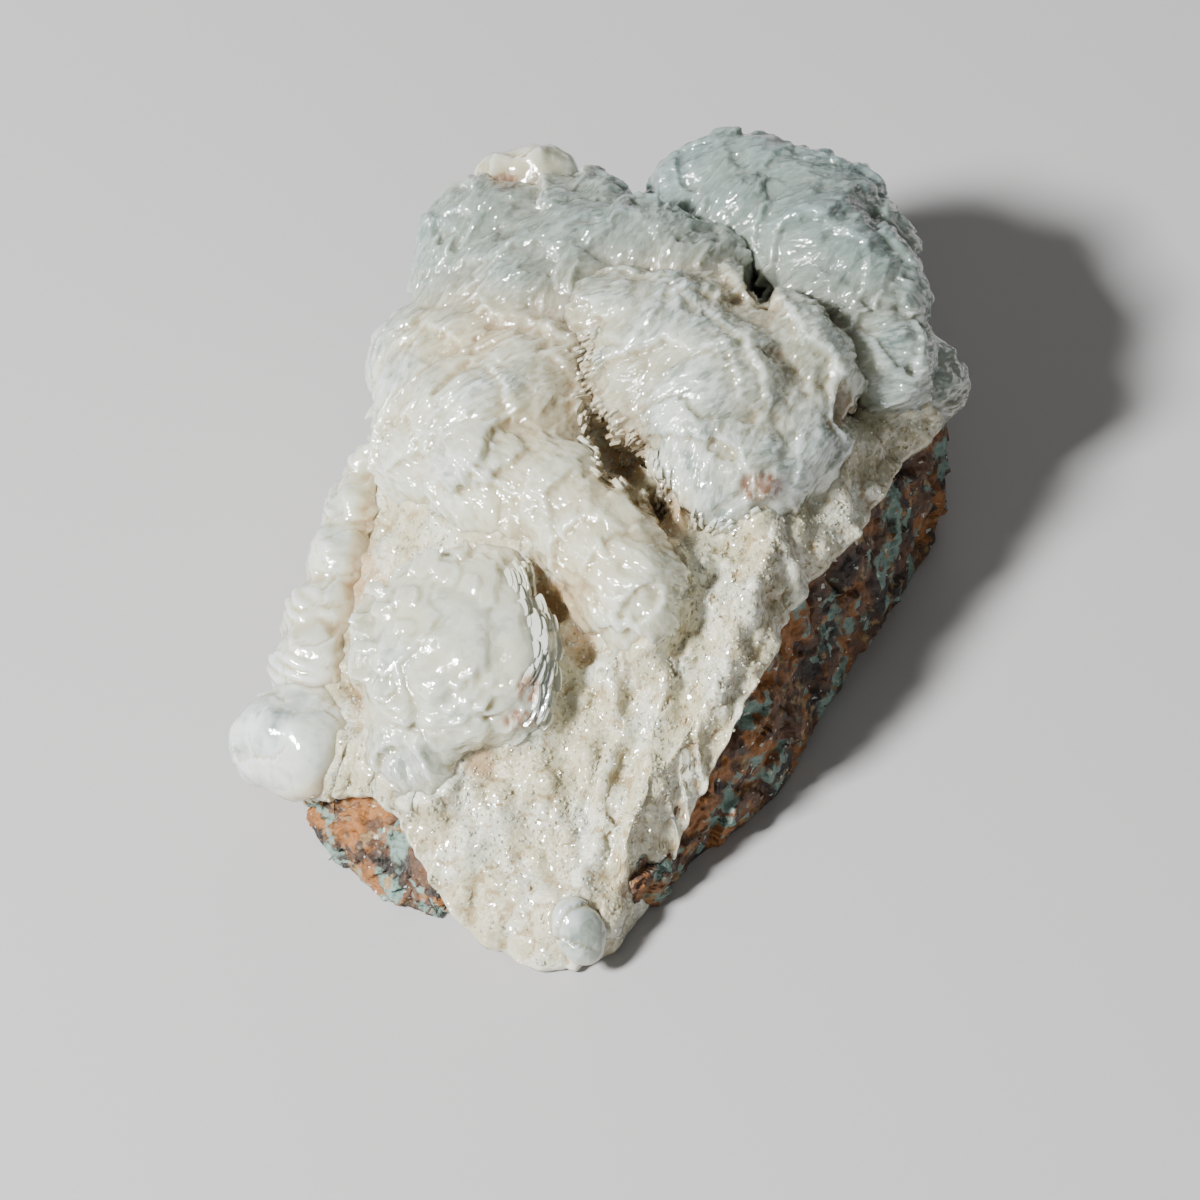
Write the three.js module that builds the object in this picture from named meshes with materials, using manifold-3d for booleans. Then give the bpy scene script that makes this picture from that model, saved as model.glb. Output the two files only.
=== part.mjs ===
// A stilbite specimen: white sheaves of platy crystals on a drusy crust, grown over a broken piece of
// basalt. Units are millimetres and +Z is up. The specimen lies on the basalt's flat underside, the origin
// is in the middle of that underside, and the crust's toe points to -Y.
import * as THREE from "three";
import Module from "manifold-3d";
import { mergeVertices } from "three/addons/utils/BufferGeometryUtils.js";

const wasm = await Module();
wasm.setup();

// Sizes of the rock and the crust
const CRUST_THICKNESS = 3;
const ROCK_TOP_DEPTH = 11; // of the rock's top under the crust's broad form, below the crust's hollows
const ROCK_TOP = [{ inward: 0.24, depth: 6.5 }, { inward: 0.5, depth: ROCK_TOP_DEPTH }];
const LIP_DROP = 1.6; // how far the crust's edge hangs down over the rock's wall
const LIP_DEPTH = 4;
const SHOULDER_WIDTH = 7; // the rounded band inside the crust's edge
const LEAST_RIM_INSET = 0.04; // the rock's top begins this share of the way in from the crust's edge
const TOP_CENTRE = new THREE.Vector2(0, 4);
const BASE_BEVEL = 1.4;
const JOINT_GAP = 0.3; // between two pieces that meet
const LEAST_HEIGHT = 0.7; // the crust's lowest edge, above the surface that the rock lies on

// Facets: steps around the outline, up the rock's wall, and from the crust's edge to its top
const ROCK_STEPS = 40;
const ROCK_WALL_LEVELS = [0.1, 0.32, 0.55, 0.8];
const CRUST_STEPS = 45;
const CRUST_RINGS = [0, 0.04, 0.1, 0.18, 0.27, 0.37, 0.48, 0.62];

// The outline, from the toe round by the right, the back and the left: the rock's edge on the table,
// then the crust's edge, which has a height of its own.
const OUTLINE = [
  // toe and right front
  { rock: [-6, -60], crust: [-6, -66.5, 1] },
  { rock: [2, -57.5], crust: [1, -64.5, 1] },
  { rock: [9, -53.5], crust: [7.8, -55.4, 2.2] },
  { rock: [15.3, -46.8], crust: [12.2, -49.8, 10.5] },
  { rock: [22, -41], crust: [16, -44, 16.5] },
  { rock: [27.5, -35.2], crust: [20.6, -37, 24] },
  { rock: [30.5, -29.5], crust: [24.8, -30, 26.2] },
  // right side
  { rock: [33, -22], crust: [28.5, -20.8, 27] },
  { rock: [38, -12.5], crust: [34.5, -11.2, 27] },
  { rock: [43.5, -3], crust: [41, -2, 27.5] },
  { rock: [48.2, 6], crust: [45.3, 8, 27] },
  { rock: [52.5, 16], crust: [51, 16.5, 24.5] },
  { rock: [54, 27], crust: [54, 27, 22] },
  // back
  { rock: [50, 38], crust: [52, 41, 20] },
  { rock: [40, 48.5], crust: [42.5, 52, 20] },
  { rock: [26, 55], crust: [27, 60, 21] },
  { rock: [10, 54], crust: [10, 60, 22] },
  { rock: [-6, 54.5], crust: [-7, 60, 20] },
  { rock: [-20, 48], crust: [-22, 53, 17] },
  { rock: [-29, 37], crust: [-32, 41, 14] },
  // left side
  { rock: [-33, 24], crust: [-36, 26, 11] },
  { rock: [-36, 10], crust: [-39, 10, 9] },
  { rock: [-38, -5], crust: [-41, -6, 8] },
  { rock: [-40, -18], crust: [-43.5, -19, 7] },
  { rock: [-42, -30], crust: [-46, -31, 6] },
  // left front, where the rock shows under the crust
  { rock: [-43, -38.5], crust: [-46, -39, 8] },
  { rock: [-41.5, -44.5], crust: [-43, -42.5, 10] },
  { rock: [-38, -49], crust: [-39, -43.8, 12.5] },
  { rock: [-33.5, -53.5], crust: [-33.4, -45.7, 15] },
  { rock: [-29, -56], crust: [-30, -48.5, 13.5] },
  { rock: [-24.5, -57.2], crust: [-26.5, -53, 9.5] },
  { rock: [-20, -57.5], crust: [-22, -57.8, 4] },
  { rock: [-14, -59], crust: [-15, -64, 1] },
];

// The crust's top: a plateau with a slope to each side. height is at the line's start, and fall is per mm.
const PLATEAU_HEIGHT = 35;
const SLOPES = [
  { name: "front", along: [0, -1], from: 22, height: 33, fall: 0.66 },
  { name: "left", along: [-1, 0], from: 20, height: 35, fall: 0.95 },
  { name: "right", along: [1, 0], from: 22, height: 35, fall: 0.25 },
  { name: "back", along: [0, 1], from: 38, height: 35, fall: 0.45 },
];
const SLOPE_BLEND = 2.5;

// Ridges that run down the front slope like folds of a drape: their lines in plan, height and half width
const RIDGES = [
  {
    height: 3.4, width: 2.2,
    line: [[19, -5], [25.8, -14], [23.5, -20], [20, -27], [17.4, -33], [13, -41], [7.7, -48], [5, -56]],
  },
  { height: 2.6, width: 1.8, line: [[6.3, -28], [9.9, -35.4], [8, -39.5], [6.3, -47], [3.5, -54]] },
  { height: 1.8, width: 1.5, line: [[20.3, -31], [17.9, -37], [14.6, -43], [11, -51]] },
  { height: 1.9, width: 1.5, line: [[0.3, -31.3], [3.5, -38.9], [1.2, -46], [-0.5, -55]] },
  { height: 1.6, width: 2, line: [[29.5, -13], [28, -22], [24, -29.5], [20.5, -35]] },
];

// Rounded nodules and hollows of the crust: place in plan, radius, and height, negative for a hollow
const NODULES = [
  { at: [-8.7, -46], radius: 4.6, height: 2.6 },
  { at: [-15, -50], radius: 4, height: 1.9 },
  { at: [-5, -54], radius: 4.5, height: 1.7 },
  { at: [-19.5, -54], radius: 3.5, height: 1.4 },
  { at: [-12, -58.5], radius: 3.6, height: 1.5 },
  { at: [-1.5, -42.5], radius: 3, height: 1.6 },
  { at: [-25, -50.5], radius: 3, height: 1.3 },
  { at: [-30.5, -8], radius: 7, height: 3.5 },
  { at: [39, 9], radius: 6, height: 2.5 },
  { at: [36, -3], radius: 5, height: 2 },
  { at: [30, -9.5], radius: 4, height: 1.4 },
  { at: [3, 5], radius: 7, height: -7 },
  { at: [10, -4], radius: 6, height: -6 },
  { at: [-8, -21], radius: 4.5, height: -6.5 },
  { at: [-1.5, -28], radius: 4.5, height: -3 },
  { at: [25, 39], radius: 4, height: -6 },
  { at: [37, 16], radius: 3, height: -4 },
  { at: [-34, -28], radius: 4, height: -4 },
];

// Where a sheaf is, is given as an eye sees it that looks down on the specimen: mm across and up on the
// plane through AIM that faces the eye, and the height above the table.
const LOOK_DOWN = THREE.MathUtils.degToRad(50);
const EYE_DISTANCE = 750;
const AIM = new THREE.Vector3(0, -11, 18);
const RIGHT = new THREE.Vector3(1, 0, 0);
const UP = new THREE.Vector3(0, Math.sin(LOOK_DOWN), Math.cos(LOOK_DOWN));
const NEAR = new THREE.Vector3(0, -Math.cos(LOOK_DOWN), Math.sin(LOOK_DOWN));
const EYE = AIM.clone().addScaledVector(NEAR, EYE_DISTANCE);

// The sheaves. Those of one cluster overlap and are one solid. Each row of fans gives where a fan's middle
// is (across, up, height) and its half sizes: through the stack of plates, outwards, and across the plates.
// opens is where the plates' free edges point and stacks is the plates' normal, as right, up and near.
const CLUSTERS = [
  {
    node: "main_sheaves",
    groups: [
      {
        name: "upper left", opens: [-0.35, 0.45, 0.8], stacks: [0.75, -0.3, 0.55], plates: 2,
        fans: [
          [-19.3, 52.5, 36, 8.5, 10.5, 10.5], [-11, 54.5, 37.5, 8, 9, 9], [-1.5, 56, 37, 8, 7.5, 8],
          [-12, 45.5, 38.5, 9, 10, 9.5], [-20, 44.5, 34, 8, 8.5, 8.5], [-4, 49.5, 39.5, 9.5, 10, 10],
          [5.5, 50, 40, 9.5, 9.5, 10], [13, 47.5, 39, 8.5, 9, 9], [17, 48, 37, 6.5, 7, 7],
          [-6, 41.5, 37.5, 9, 9, 9],
        ],
      },
      {
        name: "top knob", opens: [-0.1, 0.8, 0.5], stacks: [0.9, 0.1, 0.2], plates: 2,
        fans: [[-15.5, 62, 39.5, 4.4, 5, 4.6], [-9.8, 63, 40, 6, 5.6, 5.4]],
      },
      {
        name: "crest", opens: [-0.55, -0.35, 0.8], stacks: [0.6, -0.75, 0.2], plates: 3,
        fans: [
          [2, 40.5, 40, 9, 10, 10], [9.5, 37.5, 42, 10, 11.5, 11.5], [6.5, 31.5, 40, 8, 9, 9],
          [16.5, 30, 41, 11.5, 12.5, 12.5], [17, 21.5, 38, 9, 10.5, 10], [25, 37.5, 39, 9, 9.5, 9.5],
          [29.5, 33, 38, 9.5, 10, 10], [21.5, 17.5, 35.5, 8.5, 9, 9], [28, 24, 36, 9.5, 10, 9.5],
          [16.5, 42.5, 38.5, 8, 8.5, 8.5],
        ],
      },
      {
        name: "upper right", opens: [0.3, 0.5, 0.8], stacks: [0.5, -0.7, 0.5], plates: 2,
        fans: [
          [15.8, 60, 34, 8.5, 9.5, 9], [22, 61.5, 36, 8.5, 8.5, 9], [28.5, 59.5, 37, 8.5, 9.5, 9.5],
          [35.5, 56.5, 35.5, 8.5, 9, 9], [21.5, 55.5, 38, 8.5, 9, 8.8], [32, 52.5, 39, 9, 9.5, 9.5],
          [37, 47, 37, 9, 9.5, 9.5], [31, 43.5, 36.5, 7, 8, 8],
        ],
      },
      {
        name: "right flank", opens: [0.55, 0.1, 0.8], stacks: [0.2, 0.9, -0.2], plates: 2,
        fans: [
          [41.2, 51.5, 32.5, 6.5, 7, 7], [41.2, 44.5, 34.5, 8.5, 8.5, 8.5], [41.5, 35.5, 33.5, 9, 9, 9],
        ],
      },
      {
        name: "middle left", opens: [-0.45, 0.1, 0.9], stacks: [0.65, -0.6, 0.4], plates: 2,
        fans: [
          [-26.5, 35.5, 31, 7.5, 8, 8], [-25, 29, 32.5, 9, 9.5, 9.5], [-19.5, 35, 35, 9, 9.5, 9.5],
          [-10.5, 31.5, 37, 10, 10, 10], [-17.5, 25.5, 35.5, 10.5, 11, 11], [-9.5, 25, 35.5, 7.5, 8, 8],
          [-13, 39, 35.5, 8.5, 9, 9],
        ],
      },
      {
        name: "centre sheaf", opens: [0.6, -0.5, 0.65], stacks: [0.55, 0.8, 0.1], plates: 3,
        fans: [
          [-25, 20, 31, 8, 9, 9], [-15, 16.5, 34.5, 10, 10.5, 10.5], [-6, 14.5, 35.5, 8.5, 9.5, 8.5],
          [0.3, 8.8, 35.2, 8, 8.4, 8], [4.5, 3.5, 33.5, 8, 8.5, 8], [-0.8, 6, 33.5, 7, 8, 7.5],
          [3.8, -1.5, 31.5, 6, 7, 6.2],
        ],
      },
    ],
  },
  {
    node: "lower_sheaf",
    groups: [
      {
        name: "disc", opens: [0.75, 0.1, 0.5], stacks: [-0.35, 0.15, 0.95], plates: 4,
        fans: [
          [-22.5, -8, 27.5, 8, 14.8, 14.2], [-18.5, 0.5, 29.5, 5, 9, 8.5], [-15.5, -14, 24.5, 5.5, 8, 8],
        ],
      },
      {
        name: "disc foot", opens: [-0.1, -0.8, 0.6], stacks: [0.85, 0.1, 0.5], plates: 2,
        fans: [[-27.5, -23, 17.5, 7.5, 8, 7.5]],
      },
    ],
  },
  {
    node: "left_row_sheaves",
    groups: [
      {
        name: "row", opens: [-0.85, 0.1, 0.5], stacks: [-0.25, 0.95, 0.1], plates: 2,
        fans: [
          [-34.3, 20.5, 25, 4, 3.6, 3.4], [-36.8, 13.5, 22, 5.6, 5.2, 5], [-38.8, 5.5, 19.5, 6, 6, 5.6],
          [-41.2, -3, 17, 6.4, 6.4, 6], [-42.8, -10.5, 15, 7, 7, 6.6],
        ],
      },
      {
        name: "knob", opens: [-0.5, -0.5, 0.7], stacks: [0.9, -0.3, 0.2], plates: 3,
        fans: [[-44.6, -21.5, 12.8, 9.8, 9, 8.6]],
      },
    ],
  },
  {
    node: "right_sheaves",
    groups: [
      {
        name: "behind the flank", opens: [0.8, 0.1, 0.5], stacks: [0.2, 0.9, 0.2], plates: 4,
        fans: [[47.6, 32, 25.5, 7.6, 7.2, 6.8]],
      },
    ],
  },
  {
    node: "toe_sheaf",
    groups: [
      {
        name: "toe", opens: [0.3, -0.9, 0.2], stacks: [0.1, 0.1, 1], plates: 2,
        fans: [[-2.6, -49.6, 7, 3.4, 6, 5.2]],
      },
    ],
  },
];

// Facets of a sheaf's fan: corners round each plate, how deep the groove between two plates is, how far the
// outer plates splay, where the end plates lie, and how much a corner's reach varies
const FAN_CORNERS = 7;
const FAN_GROOVE = 0.86;
const FAN_SPLAY = 0.12;
const FAN_END = 0.93;
const FAN_UNEVEN = 0.06;
const FAN_TURN = 0.4; // how far a fan's directions differ from its group's

const LEAST_BODY_SHARE = 0.95; // of a node's volume in its one body; the rest is crumbs that a cut leaves

const COLOURS = { rock: 0x5a3d2a, crust: 0xddd2bd, sheaf: 0xe8ebe8 };

/** A repeatable number from -1 to 1 for two whole numbers. */
function uneven(i, j) {
  const s = Math.sin(i * 12.9898 + j * 78.233) * 43758.5453;
  return 2 * (s - Math.floor(s)) - 1;
}

/** The place that is seen across and up on the picture plane, at that height. */
function seen(across, up, height) {
  const sight = AIM.clone().addScaledVector(RIGHT, across).addScaledVector(UP, up).sub(EYE);
  return EYE.clone().addScaledVector(sight, (height - EYE.z) / sight.z);
}

/** A direction given as right, up and near, as a unit vector. */
function seenDirection([right, up, near]) {
  return new THREE.Vector3()
    .addScaledVector(RIGHT, right)
    .addScaledVector(UP, up)
    .addScaledVector(NEAR, near)
    .normalize();
}

/** Smooth closed curve through the outline's points: share runs from 0 to 1 once round. */
function aroundOutline(points, share) {
  const n = points.length;
  const at = share * n;
  const i = Math.floor(at);
  const f = at - i;
  const [a, b, c, d] = [-1, 0, 1, 2].map((k) => points[(i + k + n) % n]);
  return b.map((_, k) => 0.5 * (2 * b[k] + (c[k] - a[k]) * f
    + (2 * a[k] - 5 * b[k] + 4 * c[k] - d[k]) * f ** 2 + (3 * b[k] - a[k] - 3 * c[k] + d[k]) * f ** 3));
}

const ROCK_EDGE = OUTLINE.map((o) => o.rock);
const CRUST_EDGE = OUTLINE.map((o) => o.crust);

/** Distance in plan from a point to a line of points. */
function distanceToLine(x, y, line) {
  let least = Infinity;
  for (let i = 1; i < line.length; i++) {
    const [[ax, ay], [bx, by]] = [line[i - 1], line[i]];
    const [dx, dy] = [bx - ax, by - ay];
    const f = THREE.MathUtils.clamp(((x - ax) * dx + (y - ay) * dy) / (dx * dx + dy * dy), 0, 1);
    least = Math.min(least, Math.hypot(x - ax - f * dx, y - ay - f * dy));
  }
  return least;
}

/** Height of the crust's broad form at a place in plan: the least of plateau and slopes, blended. */
function crustForm(x, y) {
  const heights = SLOPES.map((s) => s.height - s.fall * (x * s.along[0] + y * s.along[1] - s.from));
  const sum = [PLATEAU_HEIGHT, ...heights].reduce((t, h) => t + Math.exp(-h / SLOPE_BLEND), 0);
  return -SLOPE_BLEND * Math.log(sum);
}

/** Height of ridges, nodules and hollows over the broad form. */
function crustRelief(x, y) {
  const ridge = (r) => r.height * Math.exp(-((distanceToLine(x, y, r.line) / r.width) ** 2));
  const nodule = ({ at, radius, height }) => {
    const away = Math.hypot(x - at[0], y - at[1]) / radius;
    return height * Math.exp(-1.6 * away ** 2);
  };
  return RIDGES.reduce((sum, r) => sum + ridge(r), 0) + NODULES.reduce((sum, n) => sum + nodule(n), 0);
}

/** A point of the crust's outside, from its edge (inward 0) to its top centre (inward 1), grown by a gap. */
function crustPoint(share, inward, grown = 0) {
  const [ex, ey, ez] = aroundOutline(CRUST_EDGE, share);
  const reach = Math.hypot(TOP_CENTRE.x - ex, TOP_CENTRE.y - ey);
  const [ox, oy] = [(ex - TOP_CENTRE.x) / reach, (ey - TOP_CENTRE.y) / reach];
  const x = THREE.MathUtils.lerp(ex, TOP_CENTRE.x, inward) + ox * grown;
  const y = THREE.MathUtils.lerp(ey, TOP_CENTRE.y, inward) + oy * grown;
  const shoulder = 1 - (1 - Math.min(1, (inward * reach) / SHOULDER_WIDTH)) ** 2.6;
  const z = THREE.MathUtils.lerp(ez, crustForm(x, y), shoulder) + shoulder * crustRelief(x, y);
  return new THREE.Vector3(x, y, Math.max(LEAST_HEIGHT, z) + grown * shoulder);
}

/** A closed solid from rings of equal length, lowest first, with a point that closes each end. */
function solidFromRings(rings, startPoint, endPoint) {
  const n = rings[0].length;
  const corners = [...rings.flat(), startPoint, endPoint];
  const start = rings.length * n;
  const index = [];
  for (let i = 0; i < n; i++) {
    const j = (i + 1) % n;
    for (let r = 0; r + 1 < rings.length; r++) {
      const [a, b, c, d] = [r * n + i, r * n + j, (r + 1) * n + j, (r + 1) * n + i];
      index.push(a, b, c, a, c, d);
    }
    const last = (rings.length - 1) * n;
    index.push(start, j, i, last + i, last + j, start + 1);
  }
  const geometry = new THREE.BufferGeometry().setFromPoints(corners).setIndex(index);
  const merged = mergeVertices(geometry, 1e-4);
  const made = new wasm.Manifold(new wasm.Mesh({
    numProp: 3,
    vertProperties: merged.attributes.position.array,
    triVerts: new Uint32Array(merged.index.array),
  }));
  if (made.volume() < 0) throw new Error("a solid's rings run the wrong way round");
  return made;
}

/** The basalt: a bevelled foot, a broken wall and a top that lies well below the crust's form. */
function rockSolid(grown = 0) {
  const outwards = (p, reach) => {
    const flat = new THREE.Vector3(p.x, p.y, 0);
    return p.add(flat.setLength(reach));
  };
  const ring = (point) => Array.from(
    { length: ROCK_STEPS },
    (_, i) => outwards(point(i / ROCK_STEPS, i), grown),
  );
  const foot = (share) => {
    const [x, y] = aroundOutline(ROCK_EDGE, share);
    return new THREE.Vector3(x, y, 0);
  };
  const fromTopCentre = ([x, y]) => Math.hypot(x - TOP_CENTRE.x, y - TOP_CENTRE.y);
  const topEdge = (share) => {
    const rimReach = fromTopCentre(aroundOutline(CRUST_EDGE, share));
    const footReach = fromTopCentre(aroundOutline(ROCK_EDGE, share));
    const p = crustPoint(share, Math.max(LEAST_RIM_INSET, 1 - (0.98 * footReach) / rimReach));
    p.z = Math.max(LEAST_HEIGHT + 1, p.z - CRUST_THICKNESS) + grown;
    return p;
  };
  const wall = ROCK_WALL_LEVELS.map((level, row) => ring((share, i) => {
    const bulge = 1.1 * Math.sin(Math.PI * level) + 1.3 * uneven(i, row);
    const p = outwards(foot(share), bulge).lerp(topEdge(share), level);
    p.z += Math.min(0.9, 0.5 * p.z) * uneven(i + 40, row);
    return p;
  }));
  const top = ROCK_TOP.map(({ inward, depth }) => ring((share) => {
    const p = crustPoint(share, inward);
    p.z = Math.max(LEAST_HEIGHT + 1, crustForm(p.x, p.y) - depth) + grown;
    return outwards(p, -2 * grown);
  }));
  const rings = [ring((share) => outwards(foot(share), -BASE_BEVEL)), ...wall, ring(topEdge), ...top];
  const topHeight = crustForm(TOP_CENTRE.x, TOP_CENTRE.y) - ROCK_TOP_DEPTH + grown;
  const centre = new THREE.Vector3(TOP_CENTRE.x, TOP_CENTRE.y, topHeight);
  return solidFromRings(rings, new THREE.Vector3(0, 0, 0), centre);
}

/** The crust's full volume, from its outside down to a floor inside the rock, the rock included. */
function crustVolume(grown = 0) {
  const ring = (point) => Array.from({ length: CRUST_STEPS }, (_, i) => point(i / CRUST_STEPS));
  const under = (share, depth, drop) => {
    const p = crustPoint(share, 0, grown);
    const inwards = new THREE.Vector3(TOP_CENTRE.x - p.x, TOP_CENTRE.y - p.y, 0).setLength(depth);
    p.add(inwards);
    p.z = Math.max(LEAST_HEIGHT, p.z - drop);
    return p;
  };
  const floor = ring((share) => under(share, LIP_DEPTH, LIP_DROP + grown));
  const lip = ring((share) => under(share, 0.6, LIP_DROP + grown));
  const outside = CRUST_RINGS.map((inward) => ring((share) => crustPoint(share, inward, grown)));
  const top = crustPoint(0, 1, 0);
  top.z += grown;
  const bottom = new THREE.Vector3(TOP_CENTRE.x, TOP_CENTRE.y, LEAST_HEIGHT);
  return solidFromRings([floor, lip, ...outside], bottom, top);
}

/** One fan of plates: rings along the stack, wide at each plate's edge and narrow in the grooves between. */
function fanSolid(group, [across, up, height, ...halfSizes], seed, grown) {
  const [throughStack, outwards, acrossPlates] = halfSizes.map((size) => size + grown);
  const middle = seen(across, up, height);
  const turned = (direction, row) => seenDirection(
    direction.map((d, k) => d + FAN_TURN * uneven(seed, row + k)),
  );
  const opens = turned(group.opens, 50);
  const stacks = turned(group.stacks, 60);
  stacks.addScaledVector(opens, -stacks.dot(opens)).normalize();
  const side = new THREE.Vector3().crossVectors(opens, stacks);
  const steps = 2 * group.plates;
  const rings = Array.from({ length: steps + 1 }, (_, k) => {
    const q = FAN_END * ((2 * k) / steps - 1);
    const reach = Math.sqrt(1 - q * q) * (k % 2 ? 1 : FAN_GROOVE);
    return Array.from({ length: FAN_CORNERS }, (_, i) => {
      const turn = (2 * Math.PI * i) / FAN_CORNERS;
      const r = reach * (1 + FAN_UNEVEN * uneven(seed * 31 + i, k));
      const out = r * Math.sin(turn);
      return middle.clone()
        .addScaledVector(stacks, throughStack * q * (1 + FAN_SPLAY * out))
        .addScaledVector(opens, outwards * out)
        .addScaledVector(side, acrossPlates * r * Math.cos(turn));
    });
  });
  const end = (q) => middle.clone().addScaledVector(stacks, throughStack * q);
  return solidFromRings(rings, end(-1), end(1));
}

/** All fans of a cluster in one solid. */
function clusterSolid(cluster, grown = 0) {
  let seed = cluster.node.length;
  return cluster.groups
    .flatMap((group) => group.fans.map((fan) => fanSolid(group, fan, seed++, grown)))
    .reduce((all, fan) => all.add(fan));
}

/** A named mesh of a solid. A cut can leave crumbs beside the body, and only the body is kept. */
function meshOf(name, solid, colour, roughness) {
  const body = solid.decompose().reduce((a, b) => (b.volume() > a.volume() ? b : a));
  if (body.volume() < LEAST_BODY_SHARE * solid.volume()) throw new Error(`${name} is in several bodies`);
  const { vertProperties, triVerts, numProp } = body.getMesh();
  const places = new Float32Array(vertProperties.length / numProp * 3);
  for (let i = 0; i < places.length / 3; i++) {
    places.set(vertProperties.subarray(i * numProp, i * numProp + 3), i * 3);
  }
  const geometry = new THREE.BufferGeometry();
  geometry.setAttribute("position", new THREE.BufferAttribute(places, 3));
  geometry.setIndex(new THREE.BufferAttribute(triVerts, 1));
  const look = { color: colour, roughness, metalness: 0, flatShading: true };
  const material = new THREE.MeshStandardMaterial(look);
  const mesh = new THREE.Mesh(geometry, material);
  mesh.name = name;
  return mesh;
}

const specimen = new THREE.Group();
specimen.name = "stilbite_specimen";
specimen.add(meshOf("matrix_rock", rockSolid(), COLOURS.rock, 0.85));
specimen.add(meshOf("druse_crust", crustVolume().subtract(rockSolid(JOINT_GAP)), COLOURS.crust, 0.5));
let taken = crustVolume(JOINT_GAP).add(rockSolid(JOINT_GAP));
for (const cluster of CLUSTERS) {
  specimen.add(meshOf(cluster.node, clusterSolid(cluster).subtract(taken), COLOURS.sheaf, 0.35));
  taken = taken.add(clusterSolid(cluster, 2 * JOINT_GAP));
}

export default specimen;
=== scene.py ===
"""A stilbite specimen: white sheaves of platy crystals on a cream druse over a broken piece of basalt.

Sizes are in millimetres until a mesh is written, which is in metres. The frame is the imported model's: the
specimen lies on its underside, +Z is up and the crust's toe points to -Y.
"""

import logging
import math
from dataclasses import dataclass
from enum import Enum

import bmesh
import bpy
import numpy as np
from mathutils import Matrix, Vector


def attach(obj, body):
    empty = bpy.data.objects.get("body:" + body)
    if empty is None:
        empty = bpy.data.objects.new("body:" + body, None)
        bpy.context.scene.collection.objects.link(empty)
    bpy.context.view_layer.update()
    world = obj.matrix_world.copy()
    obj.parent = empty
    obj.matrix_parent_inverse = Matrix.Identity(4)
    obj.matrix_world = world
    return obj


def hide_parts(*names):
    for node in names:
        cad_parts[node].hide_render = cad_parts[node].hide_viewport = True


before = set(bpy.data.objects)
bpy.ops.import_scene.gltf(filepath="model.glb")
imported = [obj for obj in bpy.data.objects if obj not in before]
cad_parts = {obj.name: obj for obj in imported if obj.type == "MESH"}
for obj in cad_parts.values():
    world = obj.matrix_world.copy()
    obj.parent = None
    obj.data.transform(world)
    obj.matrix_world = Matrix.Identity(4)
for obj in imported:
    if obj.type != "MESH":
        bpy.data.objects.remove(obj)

LOG = logging.getLogger("stilbite")
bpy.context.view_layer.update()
BODY = "root"
MM = 0.001
Row = tuple[float, ...]


class Node(Enum):
    """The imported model's nodes."""

    ROCK = "matrix_rock"
    CRUST = "druse_crust"
    MAIN = "main_sheaves"
    LOWER = "lower_sheaf"
    LEFT_ROW = "left_row_sheaves"
    RIGHT = "right_sheaves"
    TOE = "toe_sheaf"


# Numbers that look random


def uneven(i: float, j: float) -> float:
    """Give a repeatable number from -1 to 1 for two whole numbers.

    Args:
        i: first number.
        j: second number.

    Returns:
        The part after the point of a sine times a large number, stretched to -1 to 1.
    """
    s = math.sin(i * 12.9898 + j * 78.233) * 43758.5453
    return 2 * (s - math.floor(s)) - 1


def lattice(cells: np.ndarray, seed: int) -> np.ndarray:
    """Give a repeatable number from 0 to 1 for each whole-numbered lattice point.

    Args:
        cells: (..., 3) whole numbers.
        seed: which set of numbers.

    Returns:
        An array of one number a point, from an integer mix of its three coordinates.
    """
    c = cells.astype(np.int64)
    h = c[..., 0] * 374761393 + c[..., 1] * 668265263 + c[..., 2] * 1440662683 + seed * 1013904223
    h = (h ^ (h >> 13)) & 0xFFFFFFFF
    h = (h * 1274126177) & 0xFFFFFFFF
    h = h ^ (h >> 16)
    return (h & 0xFFFFFF) / float(0xFFFFFF)


def soft_noise(points: np.ndarray, cell: float, seed: int, octaves: int = 1) -> np.ndarray:
    """Give smooth noise from -1 to 1.

    Args:
        points: (n, 3) places in mm.
        cell: size of the largest lumps in mm.
        seed: which noise.
        octaves: how many layers, each half as large and half as strong.

    Returns:
        For each point, lattice numbers blended over its cell with the weight 3f^2 - 2f^3 along each axis.
    """
    total = np.zeros(len(points))
    strength = 1.0
    for octave in range(octaves):
        p = points / (cell / 2**octave)
        base = np.floor(p)
        f = p - base
        f = f * f * (3 - 2 * f)
        value = np.zeros(len(points))
        for corner in np.ndindex(2, 2, 2):
            step = np.array(corner)
            weight = np.prod(np.where(step == 1, f, 1 - f), axis=1)
            value += weight * lattice(base + step, seed + 7 * octave)
        total += strength * (2 * value - 1)
        strength *= 0.5
    return total


@dataclass
class Grains:
    """The grain each point lies in: the gap and the way from its middle in cells, and its own number."""

    gap: np.ndarray
    number: np.ndarray
    offset: np.ndarray

    def another(self, factor: float) -> np.ndarray:
        """Give another number from 0 to 1 for each grain, from a factor times its own."""
        return np.mod(self.number * factor, 1.0)


def grains(points: np.ndarray, cell: float, seed: int) -> Grains:
    """Find the grain that each point lies in, of grains scattered one to a lattice cell.

    Args:
        points: (n, 3) places in mm.
        cell: mean size of a grain in mm.
        seed: which scatter.

    Returns:
        The grain whose middle is nearest.
    """
    p = points / cell
    base = np.floor(p)
    least = np.full(len(points), np.inf)
    number = np.zeros(len(points))
    offset = np.zeros_like(p)
    for step in np.ndindex(3, 3, 3):
        at = base + np.array(step) - 1
        away = p - at - np.stack([lattice(at, seed + k) for k in range(3)], axis=1)
        gap = np.linalg.norm(away, axis=1)
        nearer = gap < least
        number = np.where(nearer, lattice(at, seed + 3), number)
        offset = np.where(nearer[:, None], away, offset)
        least = np.where(nearer, gap, least)
    return Grains(least, number, offset)


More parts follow.
